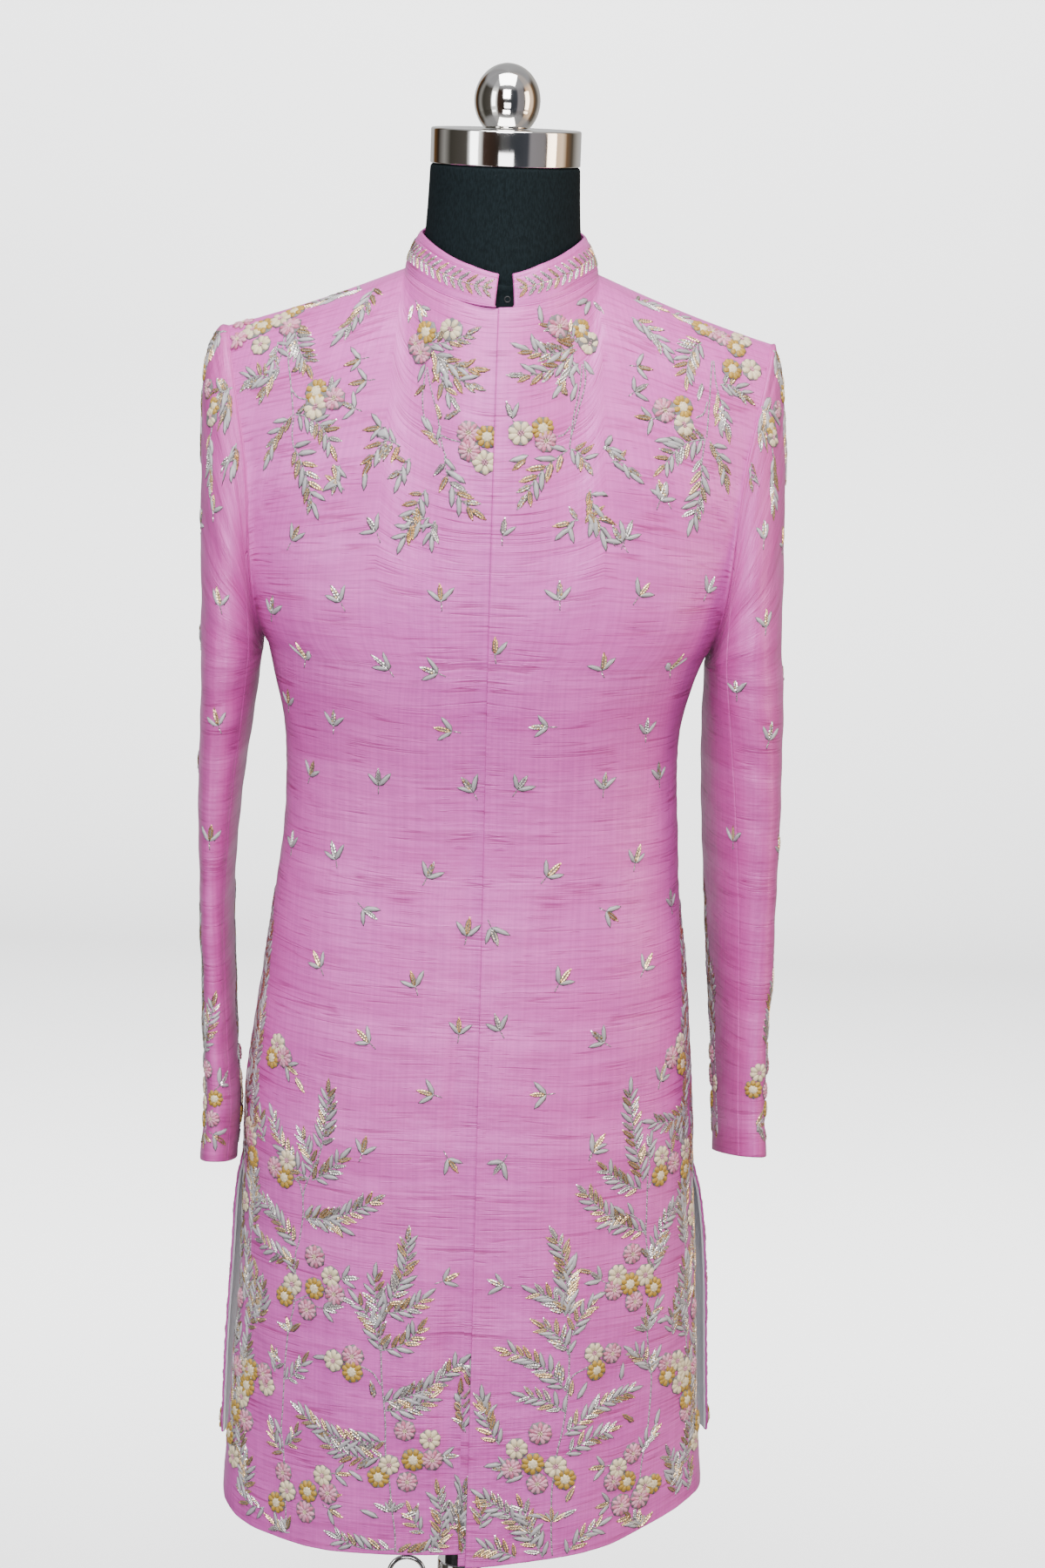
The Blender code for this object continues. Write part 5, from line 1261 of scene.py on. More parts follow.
class Needlework:
    """Gathers motifs for one stretch of cloth; millimetres and degrees."""

    def __init__(self, cloth, seed):
        self.cloth = cloth
        self.rng = np.random.RandomState(seed)
        self.stitches = {}

    def put(self, motif, u, v, turn, length, width, height, lift=0.0, bend=0.0):
        row = (u, v, math.radians(turn), length, width, height, lift, bend)
        self.stitches.setdefault(motif, []).append(row)

    def leaf(self, u, v, turn, length, beaded=None):
        """One leaf from its foot: plain satin, or filled with beads."""
        if beaded is None:
            beaded = self.rng.rand() < 0.5
        length *= self.rng.uniform(0.92, 1.10)
        turn += self.rng.uniform(-6.0, 6.0)
        if beaded:
            kind = ("silver_leaf", "gold_leaf", "mixed_leaf", "gold_leaf")[
                self.rng.randint(4)]
            self.put(kind, u, v, turn, length, length * 0.40, length * 0.115)
        else:
            self.put("leaf", u, v, turn, length * 1.05, length * 0.30,
                     length * 0.10, 0.05, self.rng.uniform(-0.10, 0.10))

    def chain(self, points, kind, step, width, height=0.9):
        """Beads or coils sewn end to end along a smooth line."""
        points = np.asarray(points, float)
        if len(points) > 2:
            run = np.arange(len(points), dtype=float)
            fine = np.linspace(0, len(points) - 1, len(points) * 12)
            points = np.stack([curve(run, points[:, k], fine) for k in (0, 1)], -1)
        steps = np.linalg.norm(np.diff(points, axis=0), axis=1)
        run = np.concatenate(([0.0], np.cumsum(steps)))
        places = np.arange(step / 2, run[-1], step)
        u = np.interp(places, run, points[:, 0])
        v = np.interp(places, run, points[:, 1])
        ahead_u = np.interp(places + 1.0, run, points[:, 0]) - np.interp(
            places - 1.0, run, points[:, 0])
        ahead_v = np.interp(places + 1.0, run, points[:, 1]) - np.interp(
            places - 1.0, run, points[:, 1])
        turns = np.degrees(np.arctan2(ahead_v, ahead_u))
        kinds = (kind,) if isinstance(kind, str) else kind
        for i in range(len(places)):
            self.put(kinds[i % len(kinds)], u[i], v[i], turns[i] + 12.0,
                     step * 1.6, width, height)

    def stem(self, points):
        self.chain(points, ("coil", "coil", "grey_coil"), 2.2, 1.4)

    def fern(self, u0, v0, u1, v1, bend, leaf):
        """A spray from its foot to its tip, with leaves on both sides."""
        run = math.hypot(u1 - u0, v1 - v0)
        heading = math.degrees(math.atan2(v1 - v0, u1 - u0))
        side_u = -(v1 - v0) / run
        side_v = (u1 - u0) / run
        reach = run - leaf * 0.75
        line = []
        for t in np.linspace(0.0, 1.0, 7):
            off = bend * 4.0 * t * (1.0 - t * 0.8)
            line.append((u0 + (u1 - u0) * t * reach / run + side_u * off,
                         v0 + (v1 - v0) * t * reach / run + side_v * off))
        self.chain(line, ("coil", "coil", "grey_coil"), 2.3, 1.25, 0.8)
        line = np.asarray(line)
        ts = np.linspace(0.0, 1.0, 7)
        pairs = max(2, int(round(reach / (leaf * 0.465))))
        plain_first = self.rng.randint(2)
        for i in range(pairs):
            for hand in (1, -1):
                t = (i + 0.35 + 0.22 * hand) / pairs
                u = float(np.interp(t, ts, line[:, 0]))
                v = float(np.interp(t, ts, line[:, 1]))
                ahead = (np.interp(t + 0.1, ts, line[:, 0]) - u,
                         np.interp(t + 0.1, ts, line[:, 1]) - v)
                if math.hypot(*ahead) > 0.5:
                    heading = math.degrees(math.atan2(ahead[1], ahead[0]))
                size = leaf * (1.04 - 0.20 * t) * (0.85 if i == 0 else 1.0)
                beaded = (2 * i + (hand > 0) + plain_first) % 5 not in (1, 3)
                self.leaf(u, v, heading + hand * (44.0 - 10.0 * t), size, beaded)
        self.leaf(line[-1, 0], line[-1, 1], heading, leaf * 0.95,
                  bool(self.rng.randint(2)))

    def sprig(self, u, v, turn, size=13.5):
        """Three leaves on a short foot: plain, beaded, plain."""
        t = math.radians(turn)
        u -= 4.0 * math.cos(t)
        v -= 4.0 * math.sin(t)
        self.chain([(u - 7.0 * math.cos(t), v - 7.0 * math.sin(t)), (u, v)],
                   ("grey_coil", "silver_coil"), 2.0, 1.1, 0.8)
        self.leaf(u, v, turn + 42.0, size, False)
        self.leaf(u, v, turn - 48.0, size * 0.95, False)
        self.leaf(u, v, turn - 4.0, size * 1.08, True)

    def lobed(self, u, v, turn, size=15.0):
        """A leaf of three beaded lobes at a joint of a stem."""
        for off, scale in ((58.0, 1.0), (0.0, 0.85), (-58.0, 1.0)):
            self.leaf(u, v, turn + off, size * scale, True)
        for off in (30.0, -30.0):
            self.leaf(u, v, turn + off, size * 0.62, False)

    def flower(self, kind, u, v, size, lift):
        """A flower of satin petals or looped thread, with a beaded eye."""
        start = self.rng.uniform(0.0, 360.0)
        count = {"cream": 8, "mustard": 9, "blush": 11}[kind]
        shape = "_loop" if kind == "blush" else "_petal"
        eye = {"cream": "blush", "blush": "cream", "mustard": "cream"}[kind]
        self.put("grey_disc", u, v, start, size * 1.05, size * 1.05, 0.8, lift)
        inner = size * (0.13 if kind != "mustard" else 0.22)
        for i in range(count):
            turn = start + 360.0 * i / count
            t = math.radians(turn)
            name = kind + shape
            if kind == "blush" and i % 3 == 1:
                name = "rose_loop"
            length = size * 0.5 - inner * 0.6
            width = 2.0 * math.pi * size * 0.36 / count * 1.12
            self.put(name, u + inner * 0.6 * math.cos(t),
                     v + inner * 0.6 * math.sin(t), turn, length, width,
                     1.5, lift + 0.35)
        if kind == "blush":
            for i in range(7):
                turn = start + 25.0 + 360.0 * i / 7
                t = math.radians(turn)
                self.put("blush_loop", u + 0.06 * size * math.cos(t),
                         v + 0.06 * size * math.sin(t), turn, size * 0.24,
                         size * 0.12, 1.3, lift + 1.1)
        if kind == "mustard":
            self.put("cream_disc", u, v, start, inner * 2.3, inner * 2.3, 1.7,
                     lift + 0.35)
        for i in range(7):
            turn = start + 360.0 * i / 6
            t = math.radians(turn)
            out = 0.0 if i == 6 else inner * 0.62
            self.put(eye + "_bead", u + out * math.cos(t), v + out * math.sin(t),
                     turn, inner * 0.75, inner * 0.7, 1.6, lift + 0.9)

    def trail(self, stems=(), ferns=(), sprigs=(), flowers=(), lobes=(),
              leaves=(), across=0.0, rise=0.0, top=1e4, bloom=BLOOM_SIZE):
        """A whole layout, listed once and sewn with the hand's own wavering."""
        waver = self.rng.uniform
        for points in stems:
            if points[0][1] < top:
                self.stem([(u + across, v + rise) for u, v in points])
        for fern in ferns:
            u0, v0, u1, v1 = fern[:4]
            bend = fern[4] if len(fern) > 4 else 0.0
            size = fern[5] * 1.12 if len(fern) > 5 else LEAF_LENGTH
            if v0 < top:
                self.fern(u0 + across, v0 + rise, u1 + across + waver(-1, 1),
                          v1 + rise + waver(-1, 1), bend, size)
        for u, v, turn in sprigs:
            if v < top:
                self.sprig(u + across, v + rise, turn + waver(-8, 8))
        for u, v, turn in lobes:
            if v < top:
                self.lobed(u + across, v + rise, turn)
        for u, v, turn in leaves:
            if v < top:
                self.leaf(u + across, v + rise, turn, 14.5)
        for i, (kind, u, v) in enumerate(flowers):
            if v < top:
                self.flower(kind, u + across, v + rise,
                            bloom * waver(0.94, 1.07), 0.25 * (i % 3))

    def true_steps(self, u, v, turn):
        """Chart steps that make one true millimetre ahead and to the side."""
        step = 2.0
        flat = np.zeros(u.shape)

        def slope(du, dv):
            after = self.cloth.place((u + du) / 1000.0, (v + dv) / 1000.0, flat)
            before = self.cloth.place((u - du) / 1000.0, (v - dv) / 1000.0, flat)
            return (after - before)[:, 0] * 1000.0 / (2.0 * step)

        pu = slope(step, 0.0)
        pv = slope(0.0, step)
        c = np.cos(turn)
        s = np.sin(turn)
        ahead = c * pu + s * pv
        ahead /= np.linalg.norm(ahead, axis=1, keepdims=True) + 1e-9
        side = c * pv - s * pu
        side -= ahead * (side * ahead).sum(axis=1, keepdims=True)
        side /= np.linalg.norm(side, axis=1, keepdims=True) + 1e-9
        uu = (pu * pu).sum(axis=1, keepdims=True)
        uv = (pu * pv).sum(axis=1, keepdims=True)
        vv = (pv * pv).sum(axis=1, keepdims=True)
        det = np.maximum(uu * vv - uv * uv, 0.05)
        steps = []
        for way in (ahead, side):
            a = (pu * way).sum(axis=1, keepdims=True)
            b = (pv * way).sum(axis=1, keepdims=True)
            steps.append(((a * vv - b * uv) / det, (b * uu - a * uv) / det))
        (ua, va), (us, vs) = steps
        return (ua, us), (va, vs)

    def inside(self, u, v):
        """Which motifs lie wholly on the cloth, a stitch in from its edges."""
        share = u / 1000.0 / np.interp(v / 1000.0, self.cloth.up, self.cloth.widths)
        spare = 0.0012 / self.cloth.widths.mean()
        held = (share > self.cloth.across[0] + spare) & (
            share < self.cloth.across[-1] - spare)
        held &= (v / 1000.0 > self.cloth.up[0] + 0.0015) & (
            v / 1000.0 < self.cloth.up[-1] - 0.0015)
        return held.all(axis=1)

    def sew(self, name, motifs, materials):
        """Carry every motif onto the cloth as one mesh."""
        verts, faces, slots, uvs = [], [], [], []
        count = 0
        for motif in sorted(self.stitches):
            points, tris, face_slots = motifs[motif]
            rows = np.asarray(self.stitches[motif], float)
            u0, v0, turn, length, width, height, lift, bend = (
                rows[:, k, None] for k in range(8))
            a = points[None, :, 0]
            b = points[None, :, 1] + bend * 4.0 * a * (1.0 - a) * 1.6
            along_it = a * length
            aside = b * width
            (u_ahead, u_side), (v_ahead, v_side) = self.true_steps(u0, v0, turn)
            u = u0 + along_it * u_ahead + aside * u_side
            v = v0 + along_it * v_ahead + aside * v_side
            inside = self.inside(u, v)
            u, v = u[inside], v[inside]
            rows = rows[inside]
            along_it, aside = along_it[inside], aside[inside]
            u0, v0, height, lift = (rows[:, k, None] for k in (0, 1, 5, 6))
            if not len(rows):
                continue
            up = (points[None, :, 2] * height + lift) / 1000.0
            spots = self.cloth.place(u / 1000.0, v / 1000.0, up).reshape(-1, 3)
            step = len(points)
            base = count + step * np.arange(len(rows))[:, None, None]
            verts.append(spots)
            faces.append((tris[None] + base).reshape(-1, 3))
            slots.append(np.tile(face_slots, len(rows)))
            flat = np.stack([along_it + 7.0 * u0, aside + 5.0 * v0], -1)
            uvs.append(flat.reshape(-1, 2) / 1000.0)
            count += step * len(rows)
        faces = np.concatenate(faces)
        if self.cloth.hand < 0:
            faces = faces[:, ::-1]
        return piece_from(name, np.concatenate(verts), faces,
                          np.concatenate(uvs), materials, np.concatenate(slots))


# ---------------------------------------------------------------- materials
def new_material(name, colour, roughness, **extra):
    """A material with its Principled BSDF's fixed values set."""
    material = bpy.data.materials.new(name)
    material.use_nodes = True
    shader = material.node_tree.nodes["Principled BSDF"]
    shader.inputs["Base Color"].default_value = (*colour, 1.0)
    shader.inputs["Roughness"].default_value = roughness
    for socket, value in extra.items():
        shader.inputs[socket.replace("_", " ")].default_value = value
    return material, material.node_tree, shader


def add(tree, kind, links=(), **values):
    """A node with its inputs set by name or linked from other sockets."""
    node = tree.nodes.new(kind)
    for name, value in values.items():
        if hasattr(node, name):
            setattr(node, name, value)
        else:
            node.inputs[name.replace("_", " ")].default_value = value
    for name, source in links:
        tree.links.new(source, node.inputs[name])
    return node


def ramped(tree, source, stops):
    """A colour ramp on a factor; stops are (place, grey or colour)."""
    node = tree.nodes.new("ShaderNodeValToRGB")
    while len(node.color_ramp.elements) < len(stops):
        node.color_ramp.elements.new(1.0)
    for element, (place, shade) in zip(node.color_ramp.elements, stops):
        element.position = place
        rgb = shade if isinstance(shade, tuple) else (shade,) * 3
        element.color = (*rgb, 1.0)
    tree.links.new(source, node.inputs["Fac"])
    return node.outputs["Color"]


def stretched_noise(tree, vector, scale, detail=2.0, roughness=0.5, place=(0, 0, 0)):
    """Noise stretched along the cloth; scale is repeats per metre each way."""
    mapping = add(tree, "ShaderNodeMapping", [("Vector", vector)],
                  Scale=scale, Location=place)
    noise = add(tree, "ShaderNodeTexNoise", [("Vector", mapping.outputs[0])],
                Scale=1.0, Detail=detail, Roughness=roughness)
    return noise.outputs["Fac"]


def mixed(tree, factor, first, second, kind="MIX"):
    node = tree.nodes.new("ShaderNodeMix")
    node.data_type = "RGBA"
    node.blend_type = kind
    for index, value in ((0, factor), (6, first), (7, second)):
        if isinstance(value, bpy.types.NodeSocket):
            tree.links.new(value, node.inputs[index])
        elif index == 0:
            node.inputs[0].default_value = value
        else:
            node.inputs[index].default_value = (*value, 1.0)
    return node.outputs[2]


def bumped(tree, height, strength, distance, over=None):
    """The normal of a height, laid over another normal if one is given."""
    links = [("Height", height)]
    if over is not None:
        links.append(("Normal", over))
    return add(tree, "ShaderNodeBump", links, Strength=strength,
               Distance=distance).outputs[0]


def dress(tree, shader, **sources):
    """Link sources to the shader's inputs by name, with _ for a space."""
    for name, source in sources.items():
        tree.links.new(source, shader.inputs[name.replace("_", " ")])


def summed(tree, first, second, first_gain=1.0, second_gain=1.0):
    """first times a gain plus second times a gain, as plain numbers."""
    a = add(tree, "ShaderNodeMath", [(0, first)], operation="MULTIPLY")
    a.inputs[1].default_value = first_gain
    b = add(tree, "ShaderNodeMath", [(0, second), (2, a.outputs[0])],
            operation="MULTIPLY_ADD")
    b.inputs[1].default_value = second_gain
    return b.outputs[0]


def slub_group():
    """Raw silk: thick and thin weft lines, bands, faint warp, and height."""
    group = bpy.data.node_groups.new("slub_weave", "ShaderNodeTree")
    face = group.interface
    face.new_socket("Cloth", in_out="INPUT", socket_type="NodeSocketVector")
    face.new_socket("Strength", in_out="INPUT", socket_type="NodeSocketFloat")
    for name in ("Line", "Band", "Warp", "Height"):
        face.new_socket(name, in_out="OUTPUT", socket_type="NodeSocketFloat")
    start = group.nodes.new("NodeGroupInput")
    end = group.nodes.new("NodeGroupOutput")
    cloth = start.outputs["Cloth"]
    bow = add(group, "ShaderNodeTexNoise", [("Vector", cloth)], Scale=7.0,
              Detail=1.0)
    lift = add(group, "ShaderNodeCombineXYZ")
    rise = add(group, "ShaderNodeMath", [(0, bow.outputs["Fac"])],
               operation="MULTIPLY")
    rise.inputs[1].default_value = 0.012
    group.links.new(rise.outputs[0], lift.inputs["Y"])
    bowed = add(group, "ShaderNodeVectorMath", [(0, cloth), (1, lift.outputs[0])])
    bowed = bowed.outputs[0]
    fine = stretched_noise(group, bowed, (12.0, 420.0, 1.0), 3.0, 0.55)
    bold = stretched_noise(group, bowed, (5.0, 120.0, 1.0), 2.0, 0.5, (3, 7, 0))
    ends = stretched_noise(group, bowed, (22.0, 46.0, 1.0), 1.0, 0.5, (7, 3, 0))
    knots = stretched_noise(group, bowed, (55.0, 620.0, 1.0), 1.0, 0.4, (1, 2, 0))
    band = stretched_noise(group, bowed, (1.6, 34.0, 1.0), 3.0, 0.6, (5, 1, 0))
    warp = stretched_noise(group, cloth, (420.0, 9.0, 1.0), 2.0, 0.5, (2, 9, 0))
    fine_line = ramped(group, fine, ((0.50, 0.0), (0.66, 1.0)))
    bold_line = ramped(group, bold, ((0.465, 0.0), (0.50, 1.0), (0.535, 0.0)))
    shown = ramped(group, ends, ((0.46, 0.0), (0.60, 1.0)))
    bold_line = mixed(group, 1.0, bold_line, shown, "MULTIPLY")
    knot = ramped(group, knots, ((0.68, 0.0), (0.76, 1.0)))
    lines = summed(group, fine_line, bold_line, 0.50, 0.85)
    lines = summed(group, lines, knot, 1.0, 0.55)
    scaled = add(group, "ShaderNodeMath", [(0, lines), (1, start.outputs["Strength"])],
                 operation="MULTIPLY")
    group.links.new(scaled.outputs[0], end.inputs["Line"])
    group.links.new(band, end.inputs["Band"])
    group.links.new(warp, end.inputs["Warp"])
    height = summed(group, fine, bold_line, 0.5, -0.5)
    height = summed(group, height, warp, 1.0, 0.25)
    height = summed(group, height, knot, 1.0, 0.7)
    group.links.new(height, end.inputs["Height"])
    return group


def cloth_vector(tree):
    return add(tree, "ShaderNodeUVMap", uv_map="cloth").outputs[0]


def silk_material(settings, slubs, name, tint, deeper, slub_scale):
    """Shot raw silk; tint is the face colour and deeper the slub lines."""
    material, tree, shader = new_material(
        name, tint, 0.42, Sheen_Weight=0.06, Sheen_Roughness=0.45,
        Sheen_Tint=(0.95, 0.72, 0.90, 1.0), Specular_IOR_Level=1.0,
        Specular_Tint=(1.0, 0.50, 1.0, 1.0), Anisotropic=0.2)
    weave = add(tree, "ShaderNodeGroup", node_tree=slubs)
    tree.links.new(cloth_vector(tree), weave.inputs["Cloth"])
    weave.inputs["Strength"].default_value = slub_scale
    blotch = stretched_noise(tree, cloth_vector(tree), (5.0, 3.0, 1.0), 2.0, 0.5,
                             (4, 4, 0))
    light = tuple(c * 1.12 + a for c, a in zip(tint, (0.05, 0.035, 0.06)))
    base = mixed(tree, ramped(tree, weave.outputs["Band"],
                              ((0.36, 0.0), (0.62, 1.0))), light, tint)
    base = mixed(tree, ramped(tree, blotch, ((0.35, 0.0), (0.75, 0.55))), base,
                 tuple(c * m for c, m in zip(tint, (0.93, 0.90, 1.06))))
    streak = ramped(tree, weave.outputs["Warp"], ((0.36, 0.84), (0.64, 1.0)))
    base = mixed(tree, 0.7, base, streak, "MULTIPLY")
    base = mixed(tree, weave.outputs["Line"], base, deeper)
    gloss = ramped(tree, weave.outputs["Band"], ((0.3, 0.38), (0.7, 0.48)))
    slub = bumped(tree, weave.outputs["Height"], settings.slub_bump, 0.0016)
    worked = stretched_noise(tree, cloth_vector(tree), (60.0, 85.0, 1.0), 2.0)
    dress(tree, shader, Base_Color=base, Roughness=gloss,
          Normal=bumped(tree, worked, 0.22, 0.0035, slub))
    return material


def thread_material(name, colour, roughness, contrast):
    """Untwisted silk floss laid side by side, slightly uneven in colour, and darker where
    its strand bump is low: painted shade between strands.
    """
    material, tree, shader = new_material(
        name, colour, roughness, Sheen_Weight=0.1, Specular_IOR_Level=0.7,
        Anisotropic=0.3)
    flat = cloth_vector(tree)
    strand = stretched_noise(tree, flat, (260.0, 2600.0, 1.0), 1.0)
    tone = stretched_noise(tree, flat, (45.0, 60.0, 1.0), 2.0)
    dark = tuple(c * (1.0 - contrast) for c in colour)
    light = tuple(min(1.0, c * (1.0 + contrast * 0.6)) for c in colour)
    base = mixed(tree, ramped(tree, tone, ((0.35, 0.0), (0.68, 1.0))), dark, light)
    # Painted shade: the low strands of the bump are darkened.
    shade = ramped(tree, strand, ((0.35, 0.78), (0.62, 1.0)))
    base = mixed(tree, 0.6, base, shade, "MULTIPLY")
    dress(tree, shader, Base_Color=base, Normal=bumped(tree, strand, 0.5, 0.0003))
    return material


def bead_material(name, colour, dull):
    """Drawn metal thread and beads, bright with duller patches."""
    material, tree, shader = new_material(name, colour, 0.25, Metallic=0.9)
    flat = cloth_vector(tree)
    tone = stretched_noise(tree, flat, (420.0, 420.0, 1.0), 1.0)
    base = mixed(tree, ramped(tree, tone, ((0.32, 0.0), (0.50, 1.0))), dull, colour)
    gloss = ramped(tree, tone, ((0.3, 0.42), (0.7, 0.16)))
    dress(tree, shader, Base_Color=base, Roughness=gloss)
    return material


def lining_material(settings):
    """Plain satin lining, a little creased and faintly striped by its warp, the stripes
    darker where the warp bump is low: painted shade.
    """
    colour = tuple(settings.lining_colour)
    material, tree, shader = new_material(
        "pale_lining_satin", colour, 0.38, Sheen_Weight=0.15,
        Specular_IOR_Level=0.55, Anisotropic=0.4)
    flat = cloth_vector(tree)
    warp = stretched_noise(tree, flat, (700.0, 14.0, 1.0), 2.0)
    soft = stretched_noise(tree, flat, (14.0, 7.0, 1.0), 3.0)
    # The low warp lines of the bump are darkened: painted shade, along with the faint
    # stripe of the weave.
    base = mixed(tree, ramped(tree, warp, ((0.35, 0.0), (0.65, 1.0))),
                 tuple(c * 0.90 for c in colour), colour)
    ridged = bumped(tree, warp, 0.25, 0.0004)
    dress(tree, shader, Base_Color=base,
          Normal=bumped(tree, soft, 0.5, 0.012, ridged))
    return material


def object_noise(tree, scale, detail=2.0):
    place = add(tree, "ShaderNodeTexCoord").outputs["Object"]
    return stretched_noise(tree, place, scale, detail)


def jersey_material():
    """Black knitted cover of the form, with fine ribs, painted shade in their low grooves,
    and a little lint.
    """
    material, tree, shader = new_material(
        "black_jersey_knit", (0.0045, 0.007, 0.0085), 0.85,
        Specular_IOR_Level=0.06)
    ribs = object_noise(tree, (900.0, 900.0, 260.0), 1.0)
    lint = object_noise(tree, (240.0, 240.0, 240.0), 3.0)
    # The ribs are darker where their bump is low: painted shade in the grooves.
    base = mixed(tree, ramped(tree, ribs, ((0.35, 0.0), (0.65, 1.0))),
                 (0.005, 0.008, 0.009), (0.008, 0.013, 0.015))
    base = mixed(tree, ramped(tree, lint, ((0.72, 0.0), (0.78, 0.25))), base,
                 (0.04, 0.045, 0.05))
    dress(tree, shader, Base_Color=base, Normal=bumped(tree, ribs, 0.35, 0.0004))
    return material


def chrome_material():
    """Polished steel with faint turning marks and fingerprints."""
    material, tree, shader = new_material(
        "polished_chrome_steel", (0.80, 0.79, 0.77), 0.08, Metallic=1.0)
    marks = object_noise(tree, (18.0, 18.0, 2400.0), 1.0)
    smear = object_noise(tree, (38.0, 38.0, 60.0), 4.0)
    gloss = mixed(tree, 0.5, ramped(tree, marks, ((0.3, 0.06), (0.7, 0.10))),
                  ramped(tree, smear, ((0.45, 0.05), (0.75, 0.14))))
    dress(tree, shader, Roughness=gloss, Normal=bumped(tree, marks, 0.02, 0.0002))
    return material


def paint_material():
    """Satin black powder coat with a fine orange-peel."""
    material, tree, shader = new_material(
        "black_stand_paint", (0.012, 0.012, 0.013), 0.42)
    peel = object_noise(tree, (700.0, 700.0, 700.0), 2.0)
    wear = object_noise(tree, (30.0, 30.0, 30.0), 4.0)
    gloss = ramped(tree, wear, ((0.35, 0.36), (0.75, 0.55)))
    base = mixed(tree, ramped(tree, wear, ((0.5, 0.0), (0.8, 0.5))),
                 (0.010, 0.010, 0.011), (0.022, 0.022, 0.024))
    dress(tree, shader, Base_Color=base, Roughness=gloss,
          Normal=bumped(tree, peel, 0.2, 0.0003))
    return material


def studio_floor_material():
    """Pale painted floor and wall, clear when seen from behind."""
    material, tree, shader = new_material("studio_floor", (0.80, 0.80, 0.80), 0.6)
    soft = object_noise(tree, (1.5, 1.5, 1.5), 2.0)
    base = mixed(tree, soft, (0.78, 0.785, 0.79), (0.83, 0.83, 0.83))
    facing = add(tree, "ShaderNodeNewGeometry").outputs["Backfacing"]
    shown = add(tree, "ShaderNodeMath", [(1, facing)], operation="SUBTRACT")
    shown.inputs[0].default_value = 1.0
    dress(tree, shader, Base_Color=base, Alpha=shown.outputs[0])
    return material


# ---------------------------------------------------------------- turned parts
CAP_LOW_Z = 1.5514
CAP_TOP_Z = 1.5796
CAP_RADIUS = 0.0602
NECK_CUT_Z = 1.462             # the torso ends here and the turned neck goes on
BALL_Z = 1.6018
SCREW_Z = 0.352 - 0.004
SCREW_REACH = 0.0193           # where the screw's shank leaves the clamp
WIRE_RADIUS = 0.0021


def finished(name, material, body="root", angle=35.0):
    """Smooth and finish the object just made, give it its material, and let it ride."""
    item = bpy.data.objects[name]
    pick(item)
    bpy.ops.object.transform_apply(location=True, rotation=True, scale=True)
    bpy.ops.object.shade_smooth_by_angle(angle=math.radians(angle))
    item.data.materials.clear()
    item.data.materials.append(material)
    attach(item, body)
    return item


def lathed(name, profile, material, segments=96):
    """Turn a profile of (radius, height) rings, closed at both ends."""
    deselect()
    radius, height = profile[0]
    bpy.ops.mesh.primitive_circle_add(vertices=segments, radius=radius,
                                      location=(0, 0, height))
    item = bpy.context.active_object
    item.name = name
    bpy.ops.object.transform_apply(location=True)
    edit_all()
    bpy.ops.mesh.edge_face_add()
    bpy.ops.mesh.select_all(action="SELECT")
    for place in profile[1:]:
        bpy.ops.mesh.extrude_region_move(
            TRANSFORM_OT_translate={"value": (0, 0, place[1] - height)})
        if place[0] != radius:
            ratio = place[0] / radius
            bpy.ops.transform.resize(value=(ratio, ratio, 1),
                                     center_override=(0, 0, place[1]))
        radius, height = place
    leave_facing_out()
    return finished(name, material)


def rounded(radius, height, bend, start, end, steps=5):
    """Profile points round a corner, from one angle to another in degrees."""
    out = []
    for k in range(steps + 1):
        turn = math.radians(start + (end - start) * k / steps)
        out.append((radius - bend + bend * math.cos(turn),
                    height + bend * math.sin(turn)))
    return out


def form_pieces(jersey):
    """The jersey-covered torso, and its neck as a smoothly turned piece."""
    source = bpy.data.objects["form_torso"]
    body = bpy.data.objects.new("dress_form", source.data.copy())
    bpy.context.scene.collection.objects.link(body)
    pick(body)
    edit_all()
    bpy.ops.mesh.remove_doubles(threshold=0.00002)
    bpy.ops.mesh.select_all(action="SELECT")
    bpy.ops.mesh.bisect(plane_co=(0, 0, NECK_CUT_Z), plane_no=(0, 0, 1),
                        clear_outer=True, use_fill=True)
    leave_facing_out()
    finished("dress_form", jersey, angle=50.0)
    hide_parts("form_torso")
    top = CAP_LOW_Z - 0.0003
    profile = [(0.0600, 1.440), (0.0650, 1.452), (0.0658, NECK_CUT_Z), (0.0645, 1.468),
               (0.0634, 1.480), (0.0627, 1.494), (0.0620, 1.505), (0.0614, 1.515),
               (0.0609, 1.526), (0.0606, 1.535), (0.0602, top - 0.0040)]
    profile += rounded(0.0601, top - 0.0030, 0.0030, 0, 90)
    neck = lathed("form_neck", profile, jersey)


